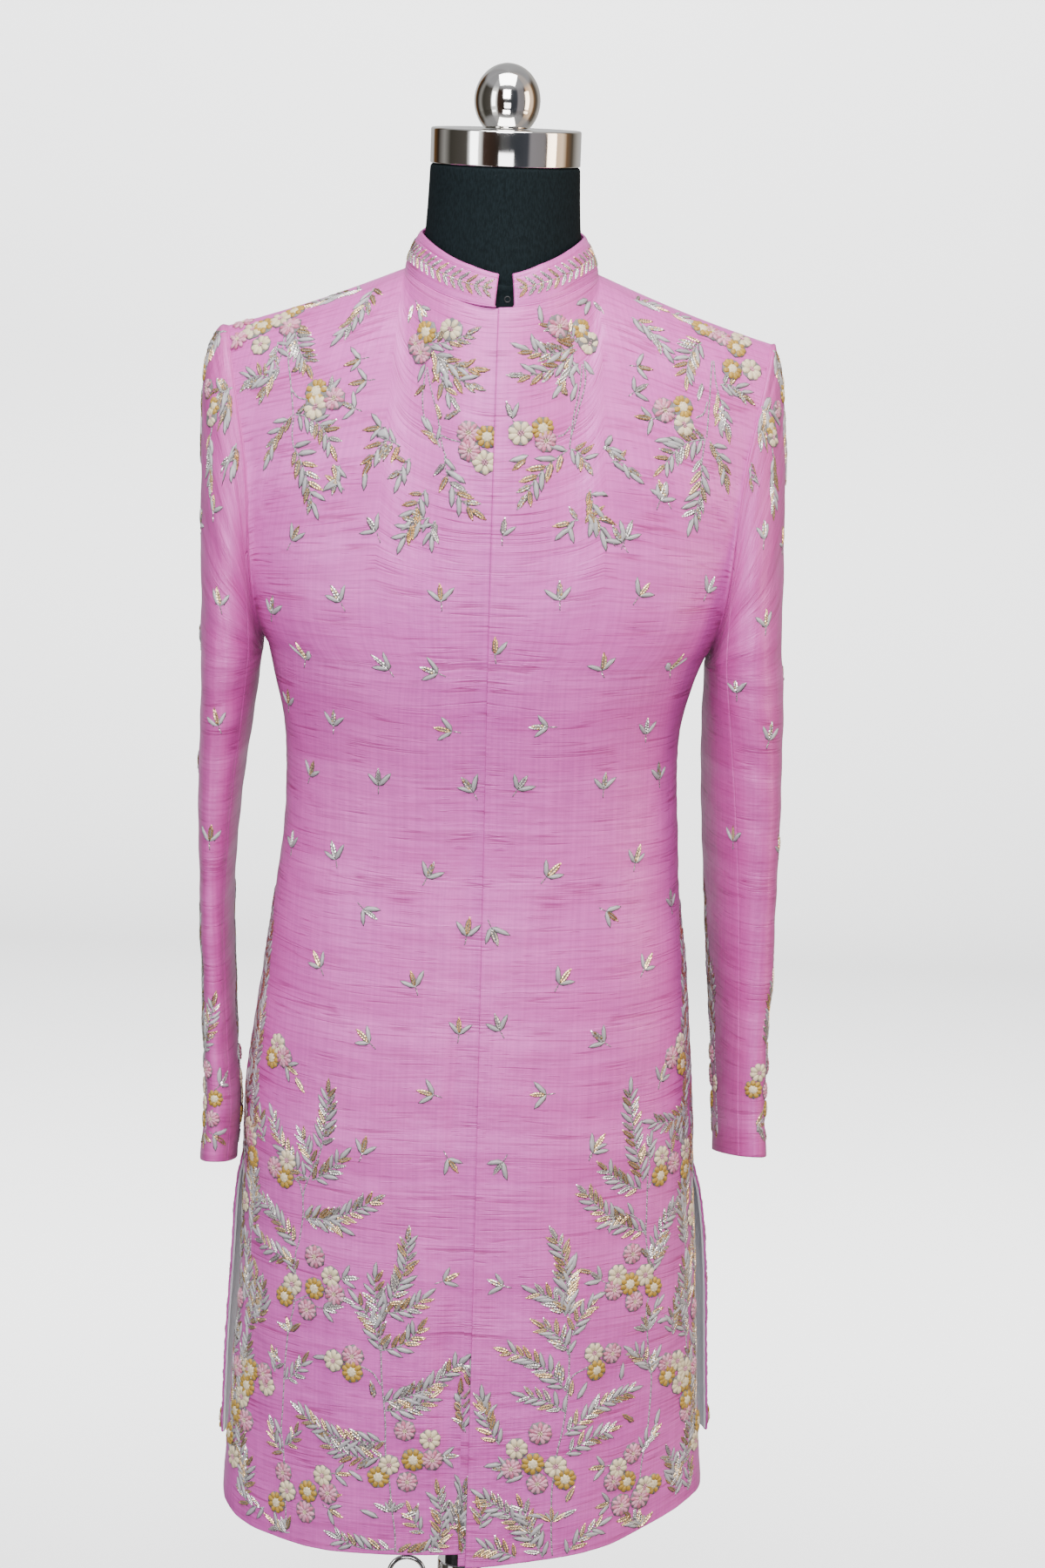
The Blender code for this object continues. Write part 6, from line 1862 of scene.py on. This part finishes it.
def stand_pieces(chrome, paint):
    """Neck cap, ball, pole, tube, clamp with its ring screw, and base."""
    out = []
    cap = rounded(CAP_RADIUS, CAP_LOW_Z + 0.0010, 0.0010, -90, 0)
    cap += rounded(CAP_RADIUS, CAP_TOP_Z - 0.0016, 0.0016, 0, 90, 7)
    out.append((lathed("cap_band", cap, chrome, 160), "neck_cap", "polished_chrome"))
    ball = [(0.0172, 1.5799)]
    for k in range(33):
        turn = math.radians(-46.5 + 135.0 * k / 32)
        ball.append((0.0265 * math.cos(turn), BALL_Z + 0.0298 * math.sin(turn)))
    out.append((lathed("cap_ball", ball, chrome, 96), "ball_finial",
                "polished_chrome"))
    pole = [(0.0125, 0.044), (0.0125, 0.7997)]
    out.append((lathed("stand_pole", pole, paint, 64), "pole", "black_paint"))
    tube = [(0.0300, 0.0143), (0.0300, 0.0183), (0.0292, 0.0215), (0.0260, 0.0283),
            (0.0200, 0.0318), (0.0170, 0.0336), (0.0160, 0.0360), (0.0160, 0.3300),
            (0.0128, 0.3300), (0.0128, 0.3200)]
    out.append((lathed("stand_outer_tube", tube, paint, 64), "stand_tube",
                "black_paint"))
    clamp = [(0.0128, 0.3303), (0.0180, 0.3303), (0.0190, 0.3313), (0.0190, 0.3400),
             (0.0186, 0.3404), (0.0186, 0.3412), (0.0190, 0.3416), (0.0190, 0.3560),
             (0.0186, 0.3564), (0.0186, 0.3572), (0.0190, 0.3576), (0.0190, 0.3630),
             (0.0180, 0.3640), (0.0128, 0.3640)]
    out.append((lathed("clamp_collar", clamp, chrome, 96), "height_clamp",
                "polished_chrome"))
    base = [(0.1720, 0.0), (0.1785, 0.0)]
    base += rounded(0.1800, 0.0015, 0.0015, -70, 0, 3)
    base += [(0.1800, 0.0045), (0.1794, 0.0062), (0.1760, 0.0070),
             (0.1700, 0.0083), (0.1600, 0.0100), (0.1300, 0.0118),
             (0.0950, 0.0130), (0.0600, 0.0137), (0.0400, 0.0140)]
    out.append((lathed("stand_base", base, paint, 128), "base_disc", "black_paint"))
    out.append((ring_screw(chrome), "clamp_screw", "polished_chrome"))
    for item, node, slot in out:
        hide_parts(node)


def ring_screw(chrome):
    """A wire ring on a short threaded shank, pointing to the wearer's right."""
    deselect()
    bpy.ops.mesh.primitive_torus_add(
        major_segments=64, minor_segments=16, major_radius=0.0150,
        minor_radius=WIRE_RADIUS, location=(-(SCREW_REACH + 0.0260), 0, SCREW_Z),
        rotation=(math.pi / 2, 0, 0))
    ring = bpy.context.active_object
    bpy.ops.mesh.primitive_cylinder_add(
        vertices=24, radius=WIRE_RADIUS, depth=0.0112,
        location=(-(SCREW_REACH + 0.0056), 0, SCREW_Z), rotation=(0, math.pi / 2, 0))
    shank = bpy.context.active_object
    edit_all()
    bpy.ops.mesh.bevel(offset=0.0004, segments=2)
    bpy.ops.object.mode_set(mode="OBJECT")
    shank.select_set(True)
    ring.select_set(True)
    bpy.context.view_layer.objects.active = ring
    bpy.ops.object.join()
    ring.name = "clamp_ring_screw"
    return finished("clamp_ring_screw", chrome)


def collar_hook(paint):
    """A small black wire ring just inside the collar's opening, standing for its hook."""
    deselect()
    bpy.ops.mesh.primitive_torus_add(
        major_segments=24, minor_segments=8, major_radius=0.0022,
        minor_radius=0.00045, location=(0.0060, -0.0800, 1.4500),
        rotation=(math.radians(80), 0, 0))
    hook = bpy.context.active_object
    hook.name = "collar_hook"
    return finished("collar_hook", paint)


# ---------------------------------------------------------------- add-on
def colour_setting(name, description, colour):
    return FloatVectorProperty(name=name, description=description, subtype="COLOR",
                               default=colour, min=0.0, max=1.0)


def wall_setting(name, description, wall, low, high):
    return FloatProperty(name=name, description=description, default=wall,
                         min=low, max=high, unit="LENGTH")


class SherwaniSettings(bpy.types.PropertyGroup):
    silk_colour: colour_setting(
        "Silk", "Face colour of the raw silk", (0.585, 0.088, 0.385))
    slub_colour: colour_setting(
        "Slub lines", "Colour of the thick weft threads", (0.25, 0.014, 0.105))
    # The sleeve silk is the body silk made darker: painted shade on the sleeves.
    sleeve_shaded_colour: colour_setting(
        "Sleeve silk", "Silk of the sleeves, cut the other way",
        (0.49, 0.060, 0.290))
    lining_colour: colour_setting(
        "Lining", "Colour of the satin lining", (0.92, 0.89, 0.94))
    silver_thread: colour_setting(
        "Silver floss", "Satin-stitched leaves", (0.395, 0.375, 0.385))
    # Grey of the outlines and stems, and of the dark leaf bases that paint shade round the
    # satin leaves and between the beads.
    outline_and_shade_thread: colour_setting(
        "Grey thread", "Outlines, stems and grounds", (0.17, 0.16, 0.16))
    silver_bead: colour_setting(
        "Silver bead", "Silver cut beads", (0.66, 0.63, 0.60))
    gold_bead: colour_setting(
        "Gold bead", "Gold cut beads", (0.68, 0.48, 0.25))
    cream_thread: colour_setting(
        "Cream floss", "Cream petals", (0.70, 0.58, 0.37))
    blush_thread: colour_setting(
        "Blush floss", "Blush petals", (0.64, 0.28, 0.38))
    rose_thread: colour_setting(
        "Rose floss", "Darker loops of the blush flowers", (0.52, 0.13, 0.23))
    mustard_thread: colour_setting(
        "Mustard floss", "Mustard petals", (0.41, 0.235, 0.014))
    cloth_wall: wall_setting(
        "Cloth thickness", "Silk, interlining and lining", 0.0020, 0.0005, 0.004)
    collar_wall: wall_setting(
        "Collar thickness", "Stiffened stand collar", 0.0032, 0.0010, 0.006)
    lining_wall: wall_setting(
        "Lining thickness", "Back skirt lining", 0.0010, 0.0003, 0.002)
    slub_bump: FloatProperty(
        name="Slub relief", description="How strongly the weave stands out",
        default=0.35, min=0.0, max=1.0)


def settings_of(context):
    return context.scene.sherwani_settings


def material_for(name, settings):
    """A material by name, made on first use."""
    found = bpy.data.materials.get(name)
    if found:
        return found
    if name in ("raw_silk_pink", "raw_silk_sleeve_shaded"):
        slubs = bpy.data.node_groups.get("slub_weave") or slub_group()
        # The sleeves take the darker silk colour, as painted shade.
        colour = settings.silk_colour if name.endswith("pink") else (
            settings.sleeve_shaded_colour)
        return silk_material(settings, slubs, name, tuple(colour),
                             tuple(settings.slub_colour), 0.62)
    threads = {
        "floss_silver": (settings.silver_thread, 0.40, 0.22),
        # The grey thread also paints the shade under and round the leaves.
        "thread_grey_and_shade": (settings.outline_and_shade_thread, 0.60, 0.30),
        "floss_cream": (settings.cream_thread, 0.55, 0.12),
        "floss_blush": (settings.blush_thread, 0.55, 0.15),
        "floss_mustard": (settings.mustard_thread, 0.55, 0.18),
        "floss_rose": (settings.rose_thread, 0.55, 0.15),
    }
    if name in threads:
        colour, roughness, contrast = threads[name]
        return thread_material(name, tuple(colour), roughness, contrast)
    beads = {"bead_silver": (settings.silver_bead, (0.30, 0.28, 0.26)),
             "bead_gold": (settings.gold_bead, (0.32, 0.20, 0.09))}
    if name in beads:
        colour, dull = beads[name]
        return bead_material(name, tuple(colour), dull)
    makers = {"pale_lining_satin": lambda: lining_material(settings),
              "black_jersey_knit": jersey_material,
              "polished_chrome_steel": chrome_material,
              "black_stand_paint": paint_material}
    return makers[name]()


def thread_set(settings):
    return [material_for(name, settings) for name in (
        "floss_silver", "thread_grey_and_shade", "bead_silver", "bead_gold", "floss_cream",
        "floss_blush", "floss_mustard", "floss_rose")]


def panel_pieces(face, names, settings):
    silk = material_for("raw_silk_pink", settings)
    lining = material_for("pale_lining_satin", settings)
    for side, name in names.items():
        cloth = body_cloth(side, face)
        item = sheet_piece(name + "_silk", cloth, settings.cloth_wall,
                           [silk, lining])
        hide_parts(name)


class SHERWANI_OT_fronts(bpy.types.Operator):
    """Hang the two front panels; the left laps over the right"""
    bl_idname = "sherwani.fronts"
    bl_label = "Fronts"

    def execute(self, context):
        panel_pieces("front", {1: "front_left", -1: "front_right"},
                     settings_of(context))
        return {"FINISHED"}


class SHERWANI_OT_backs(bpy.types.Operator):
    """Hang the two back panels and the lining inside their skirt"""
    bl_idname = "sherwani.backs"
    bl_label = "Backs"

    def execute(self, context):
        settings = settings_of(context)
        panel_pieces("back", {1: "back_left", -1: "back_right"}, settings)
        cloth = lining_cloth(settings)
        item = sheet_piece("back_skirt_satin", cloth, settings.lining_wall,
                           [material_for("pale_lining_satin", settings)])
        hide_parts("back_skirt_lining")
        return {"FINISHED"}


def lining_cloth(settings):
    """Lining of the back skirt, from one slit to the other."""
    low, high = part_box("back_skirt_lining")
    up = low[2] + spaced(high[2] - low[2], CLOTH_STEP)
    grids = []
    for side in (-1, 1):
        shares = spaced(LINING_SPAN, CLOTH_STEP * 1.2) / LINING_SPAN
        grid = hemmed_lining(side, shares, up)
        normal = grid_normals(grid) * -side
        grid = grid - normal * (settings.cloth_wall + 0.0003)
        grids.append(grid)
    grid = np.concatenate((grids[1][:, ::-1], grids[0][:, 1:]), axis=1)
    across = np.linspace(0.0, 1.0, grid.shape[1])
    steps = np.linalg.norm(np.diff(grid, axis=1), axis=2).sum(axis=0)
    across[1:] = np.cumsum(steps) / steps.sum()
    cloth = Cloth(grid, across, up, 1)
    relief = 0.0004 * ripple(cloth.u, cloth.v, 0.060, 77, 2.0) * smooth(
        (cloth.v - up[0]) / 0.03)
    edge = np.minimum(cloth.u, cloth.widths[:, None] - cloth.u)
    cloth.push(np.minimum(relief, 0.0) * smooth(edge / 0.01))
    return cloth


def hemmed_lining(side, shares, up):
    """The back panel's own surface, drawn in a little at the slit."""
    base = spaced(ARMPIT_Z + UPPER_SPAN - BACK_HEM_Z, CLOTH_STEP) + BACK_HEM_Z
    full = hemmed(side, "back", shares, base)
    rise = np.interp(up, base, np.arange(len(base)))
    i = np.clip(rise.astype(int), 0, len(base) - 2)
    t = (rise - i)[:, None, None]
    grid = full[i] * (1 - t) + full[i + 1] * t
    widths = np.linalg.norm(np.diff(grid, axis=1), axis=2).sum(axis=1)
    out = np.empty_like(grid)
    for k in range(len(up)):
        reach = 1.0 - 0.0018 / widths[k]
        places = np.interp(shares * reach, shares, np.arange(len(shares)))
        for axis in range(3):
            out[k, :, axis] = np.interp(places, np.arange(len(shares)),
                                        grid[k, :, axis])
    return out


class SHERWANI_OT_collar(bpy.types.Operator):
    """Set the stiffened stand collar and its hook"""
    bl_idname = "sherwani.collar"
    bl_label = "Collar"

    def execute(self, context):
        settings = settings_of(context)
        cloth = collar_cloth()
        item = sheet_piece("collar_silk", cloth, settings.collar_wall,
                           [material_for("raw_silk_pink", settings)])
        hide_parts("collar")
        cord = seam_cord("collar_seam_cord", cloth.points[0], 0.0009,
                         material_for("raw_silk_pink", settings))
        collar_hook(material_for("black_stand_paint", settings))
        return {"FINISHED"}


class SHERWANI_OT_sleeves(bpy.types.Operator):
    """Hang the upper and under sleeves"""
    bl_idname = "sherwani.sleeves"
    bl_label = "Sleeves"

    def execute(self, context):
        settings = settings_of(context)
        # Darker silk on the sleeves: painted shade.
        silk = material_for("raw_silk_sleeve_shaded", settings)
        lining = material_for("pale_lining_satin", settings)
        for side, word in ((1, "left"), (-1, "right")):
            for kind, first, last in (
                    ("upper", SLEEVE_SEAM_BACK, SLEEVE_SEAM_FRONT),
                    ("under", SLEEVE_SEAM_FRONT, 1.0 + SLEEVE_SEAM_BACK)):
                cloth = sleeve_cloth(side, first, last)
                node = kind + "_sleeve_" + word
                item = sheet_piece(node + "_silk", cloth, settings.cloth_wall,
                                   [silk, lining])
                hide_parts(node)
            loop = armhole_loop(np.arange(96) / 96.0)
            loop[:, 0] = side * loop[:, 0] + side_shift(loop[:, 2])
            cord = seam_cord("armhole_cord_" + word, loop, 0.0007, silk, True)
        return {"FINISHED"}


class SHERWANI_OT_body_embroidery(bpy.types.Operator):
    """Sew the flowering plants and small sprigs on the body panels"""
    bl_idname = "sherwani.body_embroidery"
    bl_label = "Body Embroidery"

    def execute(self, context):
        settings = settings_of(context)
        motifs = model_motifs()
        threads = thread_set(settings)
        for face in ("front", "back"):
            for side, word in ((1, "left"), (-1, "right")):
                cloth = body_cloth(side, face)
                work = Needlework(cloth, 100 + side + (10 if face == "back" else 0))
                if face == "front":
                    work.trail(**FRONT_WORK[side])
                else:
                    work.trail(**FRONT_WORK[-side], rise=24.0, top=900.0)
                work.trail(**SIDE_WORK)
                for u, v, turn in BUTIS[face, side]:
                    work.sprig(u, v, turn)
                work.sew("embroidery_%s_%s" % (face, word), motifs, threads)
        return {"FINISHED"}


class SHERWANI_OT_sleeve_embroidery(bpy.types.Operator):
    """Sew the cuff plants, the sleeve heads and the small sprigs"""
    bl_idname = "sherwani.sleeve_embroidery"
    bl_label = "Sleeve Embroidery"

    def execute(self, context):
        settings = settings_of(context)
        motifs = model_motifs()
        threads = thread_set(settings)
        for side, word in ((1, "left"), (-1, "right")):
            cloth = sleeve_cloth(side, -0.5, 0.5)
            work = Needlework(cloth, 300 + side)
            low = cloth.up[0] * 1000.0
            for place in CUFF_PLACES[side]:
                work.trail(**CUFF_WORK[side], across=place, rise=low, bloom=15.5)
            work.trail(HEAD_STEMS, HEAD_FERNS, (), HEAD_FLOWERS, bloom=15.5)
            for u, v, turn in SLEEVE_BUTIS[side]:
                work.sprig(u, v, turn)
            work.sew("embroidery_sleeve_" + word, motifs, threads)
        return {"FINISHED"}


COLLAR_MIDDLE = 16.8           # millimetres, as are the next two
COLLAR_MARGIN = 8.0
COLLAR_PITCH = 7.2


class SHERWANI_OT_collar_embroidery(bpy.types.Operator):
    """Sew the band of paired leaves round the collar"""
    bl_idname = "sherwani.collar_embroidery"
    bl_label = "Collar Embroidery"

    def execute(self, context):
        settings = settings_of(context)
        cloth = collar_cloth()
        cloth.widths[:] = cloth.widths.mean()
        work = Needlework(cloth, 500)
        length = float(cloth.widths.mean()) * 1000.0
        middle = COLLAR_MIDDLE
        work.chain([(5.0, middle), (length - 5.0, middle)],
                   ("silver_coil", "coil", "gold_bead"), 2.2, 1.3)
        reach = length - 2.0 * COLLAR_MARGIN
        count = int(reach / COLLAR_PITCH)
        for k in range(count):
            u = COLLAR_MARGIN + k * reach / (count - 1)
            toward = 180.0 if u < length / 2 else 0.0
            for hand in (1, -1):
                turn = toward - hand * 50.0 if toward else hand * 50.0
                foot = u + (4.0 if toward else -4.0)
                foot = min(max(foot, 6.0), length - 6.0)
                kind = ("gold_leaf", "silver_leaf", "mixed_leaf", "silver_leaf")[k % 4]
                work.put(kind, foot, middle, turn, 11.6, 4.3, 1.5)
        for foot, turn in ((13.0, 180.0), (length - 13.0, 0.0)):
            work.put("mixed_leaf", foot, middle, turn, 9.0, 4.0, 1.4)
        work.sew("embroidery_collar", model_motifs(), thread_set(settings))
        return {"FINISHED"}


class SHERWANI_OT_form(bpy.types.Operator):
    """Stand the dress form with its jersey cover"""
    bl_idname = "sherwani.form"
    bl_label = "Dress Form"

    def execute(self, context):
        form_pieces(material_for("black_jersey_knit", settings_of(context)))
        return {"FINISHED"}


class SHERWANI_OT_stand(bpy.types.Operator):
    """Turn the neck cap, ball, pole, clamp and base"""
    bl_idname = "sherwani.stand"
    bl_label = "Stand"

    def execute(self, context):
        settings = settings_of(context)
        stand_pieces(material_for("polished_chrome_steel", settings),
                     material_for("black_stand_paint", settings))
        return {"FINISHED"}


def area_light(name, place, target, size, power, colour):
    data = bpy.data.lights.new(name, "AREA")
    data.shape = "RECTANGLE"
    data.size, data.size_y = size
    data.energy = power
    data.color = colour
    item = bpy.data.objects.new(name, data)
    item.location = place
    item.rotation_mode = "QUATERNION"
    item.rotation_quaternion = (Vector(target) - Vector(place)).to_track_quat("-Z", "Y")
    bpy.context.scene.collection.objects.link(item)


# Name, place, target, width and height, watts and colour of each light.
LIGHTS = (
    ("window_left", (-2.5, -2.2, 1.8), (0, 0, 1.1), (0.8, 2.2), 32.0,
     (0.93, 0.97, 1.0)),
    ("window_right", (2.6, -0.7, 1.6), (0, 0, 1.0), (0.8, 2.0), 34.0,
     (1.0, 0.80, 0.62)),
    ("softbox", (-0.1, -3.6, 2.8), (0, 0, 1.25), (1.6, 1.6), 135.0,
     (0.98, 0.97, 1.0)),
    ("low_reflector", (0.1, -3.8, 0.75), (0, 0, 0.9), (1.5, 1.0), 31.0,
     (0.98, 0.97, 1.0)),
    ("ceiling", (0.0, -0.9, 3.5), (0, 0, 1.2), (2.0, 1.6), 110.0,
     (1.0, 1.0, 1.0)),
    ("backdrop_wash", (0.0, 0.8, 2.7), (0, 4.6, 1.2), (5.0, 0.5), 680.0,
     (1.0, 1.0, 1.0)),
)
FLOOR_SIZE = (14.0, 10.0)
FLOOR_SHIFT = -1.4             # how far the floor's far edge is brought nearer
COVE_STEPS = 12
WALL_RISE = 6.0
CAMERA_PLACE = (0.031, -3.0, 1.654)
CAMERA_LENS = 85.0             # millimetres
CAMERA_FILM = 36.0             # height of the film in millimetres
CAMERA_TILT = 11.44            # degrees down
CAMERA_ROLL = 2.0              # degrees
# What the polished metal mirrors, by direction round the room from the left
# of the camera's back to its right: place, then red, green and blue.
ROOM = (
    (0.00, 0.80, 0.80, 0.80), (0.09, 0.70, 0.70, 0.70), (0.11, 0.16, 0.08, 0.03),
    (0.15, 0.03, 0.02, 0.015), (0.20, 0.35, 0.34, 0.32), (0.24, 0.06, 0.055, 0.045),
    (0.33, 0.10, 0.09, 0.08), (0.345, 1.50, 1.50, 1.50), (0.39, 1.60, 1.58, 1.55),
    (0.405, 0.07, 0.04, 0.03), (0.47, 0.03, 0.02, 0.015), (0.485, 0.09, 0.09, 0.09),
    (0.51, 0.08, 0.08, 0.085), (0.525, 0.04, 0.045, 0.055), (0.595, 0.07, 0.075, 0.09),
    (0.61, 0.34, 0.32, 0.34), (0.67, 0.30, 0.28, 0.29), (0.69, 0.05, 0.035, 0.03),
    (0.71, 1.30, 0.85, 0.50), (0.77, 1.50, 1.10, 0.75), (0.80, 0.22, 0.13, 0.07),
    (0.84, 0.10, 0.08, 0.06), (0.90, 0.55, 0.52, 0.48), (1.00, 0.80, 0.80, 0.80),
)


def room_light(tree):
    """Even pale air, and a furnished room where polished metal mirrors it."""
    air = tree.nodes["Background"]
    air.inputs["Color"].default_value = (0.93, 0.96, 1.0, 1.0)
    air.inputs["Strength"].default_value = 0.34
    place = add(tree, "ShaderNodeTexCoord").outputs["Generated"]
    axes = add(tree, "ShaderNodeSeparateXYZ", [(0, place)])
    behind = add(tree, "ShaderNodeMath", [(0, axes.outputs["Y"])],
                 operation="MULTIPLY")
    behind.inputs[1].default_value = -1.0
    turn = add(tree, "ShaderNodeMath", [(0, axes.outputs["X"]),
                                        (1, behind.outputs[0])],
               operation="ARCTAN2")
    share = add(tree, "ShaderNodeMath", [(0, turn.outputs[0])],
                operation="MULTIPLY_ADD")
    share.inputs[1].default_value = 1.0 / math.tau
    share.inputs[2].default_value = 0.5
    room = ramped(tree, share.outputs[0], [(p, (r, g, b)) for p, r, g, b in ROOM])
    above = ramped(tree, axes.outputs["Z"], ((0.45, 0.0), (0.60, 0.85)))
    room = mixed(tree, above, room, (0.50, 0.50, 0.52))
    mirror = add(tree, "ShaderNodeBackground", [("Color", room)], Strength=1.0)
    sight = add(tree, "ShaderNodeLightPath").outputs["Is Glossy Ray"]
    both = add(tree, "ShaderNodeMixShader", [(0, sight), (1, air.outputs[0]),
                                             (2, mirror.outputs[0])])
    tree.links.new(both.outputs[0], tree.nodes["World Output"].inputs["Surface"])


def floor_and_wall():
    """A floor that curves up into a wall behind the coat."""
    deselect()
    bpy.ops.mesh.primitive_plane_add(size=1.0, location=(0, 0, -0.0005))
    floor = bpy.context.active_object
    floor.name = "studio_floor"
    edit_all()
    bpy.ops.transform.resize(value=(*FLOOR_SIZE, 1.0))
    select_where(floor, lambda co: co.y > 0)
    bpy.ops.transform.translate(value=(0, FLOOR_SHIFT, 0))
    for k in range(1, COVE_STEPS + 1):
        turn = math.radians(90.0 * k / COVE_STEPS)
        before = math.radians(90.0 * (k - 1) / COVE_STEPS)
        bpy.ops.mesh.extrude_region_move(TRANSFORM_OT_translate={
            "value": (0, math.sin(turn) - math.sin(before),
                      math.cos(before) - math.cos(turn))})
    bpy.ops.mesh.extrude_region_move(
        TRANSFORM_OT_translate={"value": (0, 0, WALL_RISE)})
    bpy.ops.object.mode_set(mode="OBJECT")
    bpy.ops.object.transform_apply(location=True, rotation=True, scale=True)
    bpy.ops.object.shade_smooth()
    floor.data.materials.append(studio_floor_material())
    floor.visible_glossy = False
    floor.visible_diffuse = False


def studio_camera(scene):
    """A tall frame from just above the shoulders, tilted down at the coat."""
    data = bpy.data.cameras.new("studio_camera")
    data.lens = CAMERA_LENS
    data.sensor_fit = "VERTICAL"
    data.sensor_height = CAMERA_FILM
    camera = bpy.data.objects.new("studio_camera", data)
    camera.location = CAMERA_PLACE
    camera.rotation_mode = "QUATERNION"
    tilt = math.radians(CAMERA_TILT)
    look = Vector((0.0, math.cos(tilt), -math.sin(tilt)))
    camera.rotation_quaternion = look.to_track_quat("-Z", "Y") @ Quaternion(
        (0, 0, 1), math.radians(CAMERA_ROLL))
    scene.collection.objects.link(camera)
    scene.camera = camera


class SHERWANI_OT_stage(bpy.types.Operator):
    """Set the pale floor and backdrop, the soft lights and the camera"""
    bl_idname = "sherwani.stage"
    bl_label = "Studio"

    def execute(self, context):
        floor_and_wall()
        world = bpy.data.worlds.new("studio_air")
        world.use_nodes = True
        room_light(world.node_tree)
        context.scene.world = world
        for light in LIGHTS:
            area_light(*light)
        studio_camera(context.scene)
        return {"FINISHED"}


class SHERWANI_PT_panel(bpy.types.Panel):
    """Sizes and colours of the coat, and a button for each group of pieces"""
    bl_label = "Sherwani Coat"
    bl_idname = "SHERWANI_PT_panel"
    bl_space_type = "VIEW_3D"
    bl_region_type = "UI"
    bl_category = "Sherwani"

    def draw(self, context):
        settings = settings_of(context)
        column = self.layout.column()
        for name in SherwaniSettings.__annotations__:
            column.prop(settings, name)
        for operator in OPERATORS:
            column.operator(operator.bl_idname)


OPERATORS = (SHERWANI_OT_form, SHERWANI_OT_stand, SHERWANI_OT_fronts,
             SHERWANI_OT_backs, SHERWANI_OT_collar, SHERWANI_OT_sleeves,
             SHERWANI_OT_body_embroidery, SHERWANI_OT_sleeve_embroidery,
             SHERWANI_OT_collar_embroidery, SHERWANI_OT_stage)
CLASSES = (SherwaniSettings, *OPERATORS, SHERWANI_PT_panel)


def register():
    for item in CLASSES:
        bpy.utils.register_class(item)
    bpy.types.Scene.sherwani_settings = PointerProperty(type=SherwaniSettings)


def unregister():
    del bpy.types.Scene.sherwani_settings
    for item in reversed(CLASSES):
        bpy.utils.unregister_class(item)


def main():
    register()
    for operator in OPERATORS:
        family, action = operator.bl_idname.split(".")
        result = getattr(getattr(bpy.ops, family), action)()
        if result != {"FINISHED"}:
            raise RuntimeError(operator.bl_label + " could not be finished")


if __name__ == "__main__":
    main()
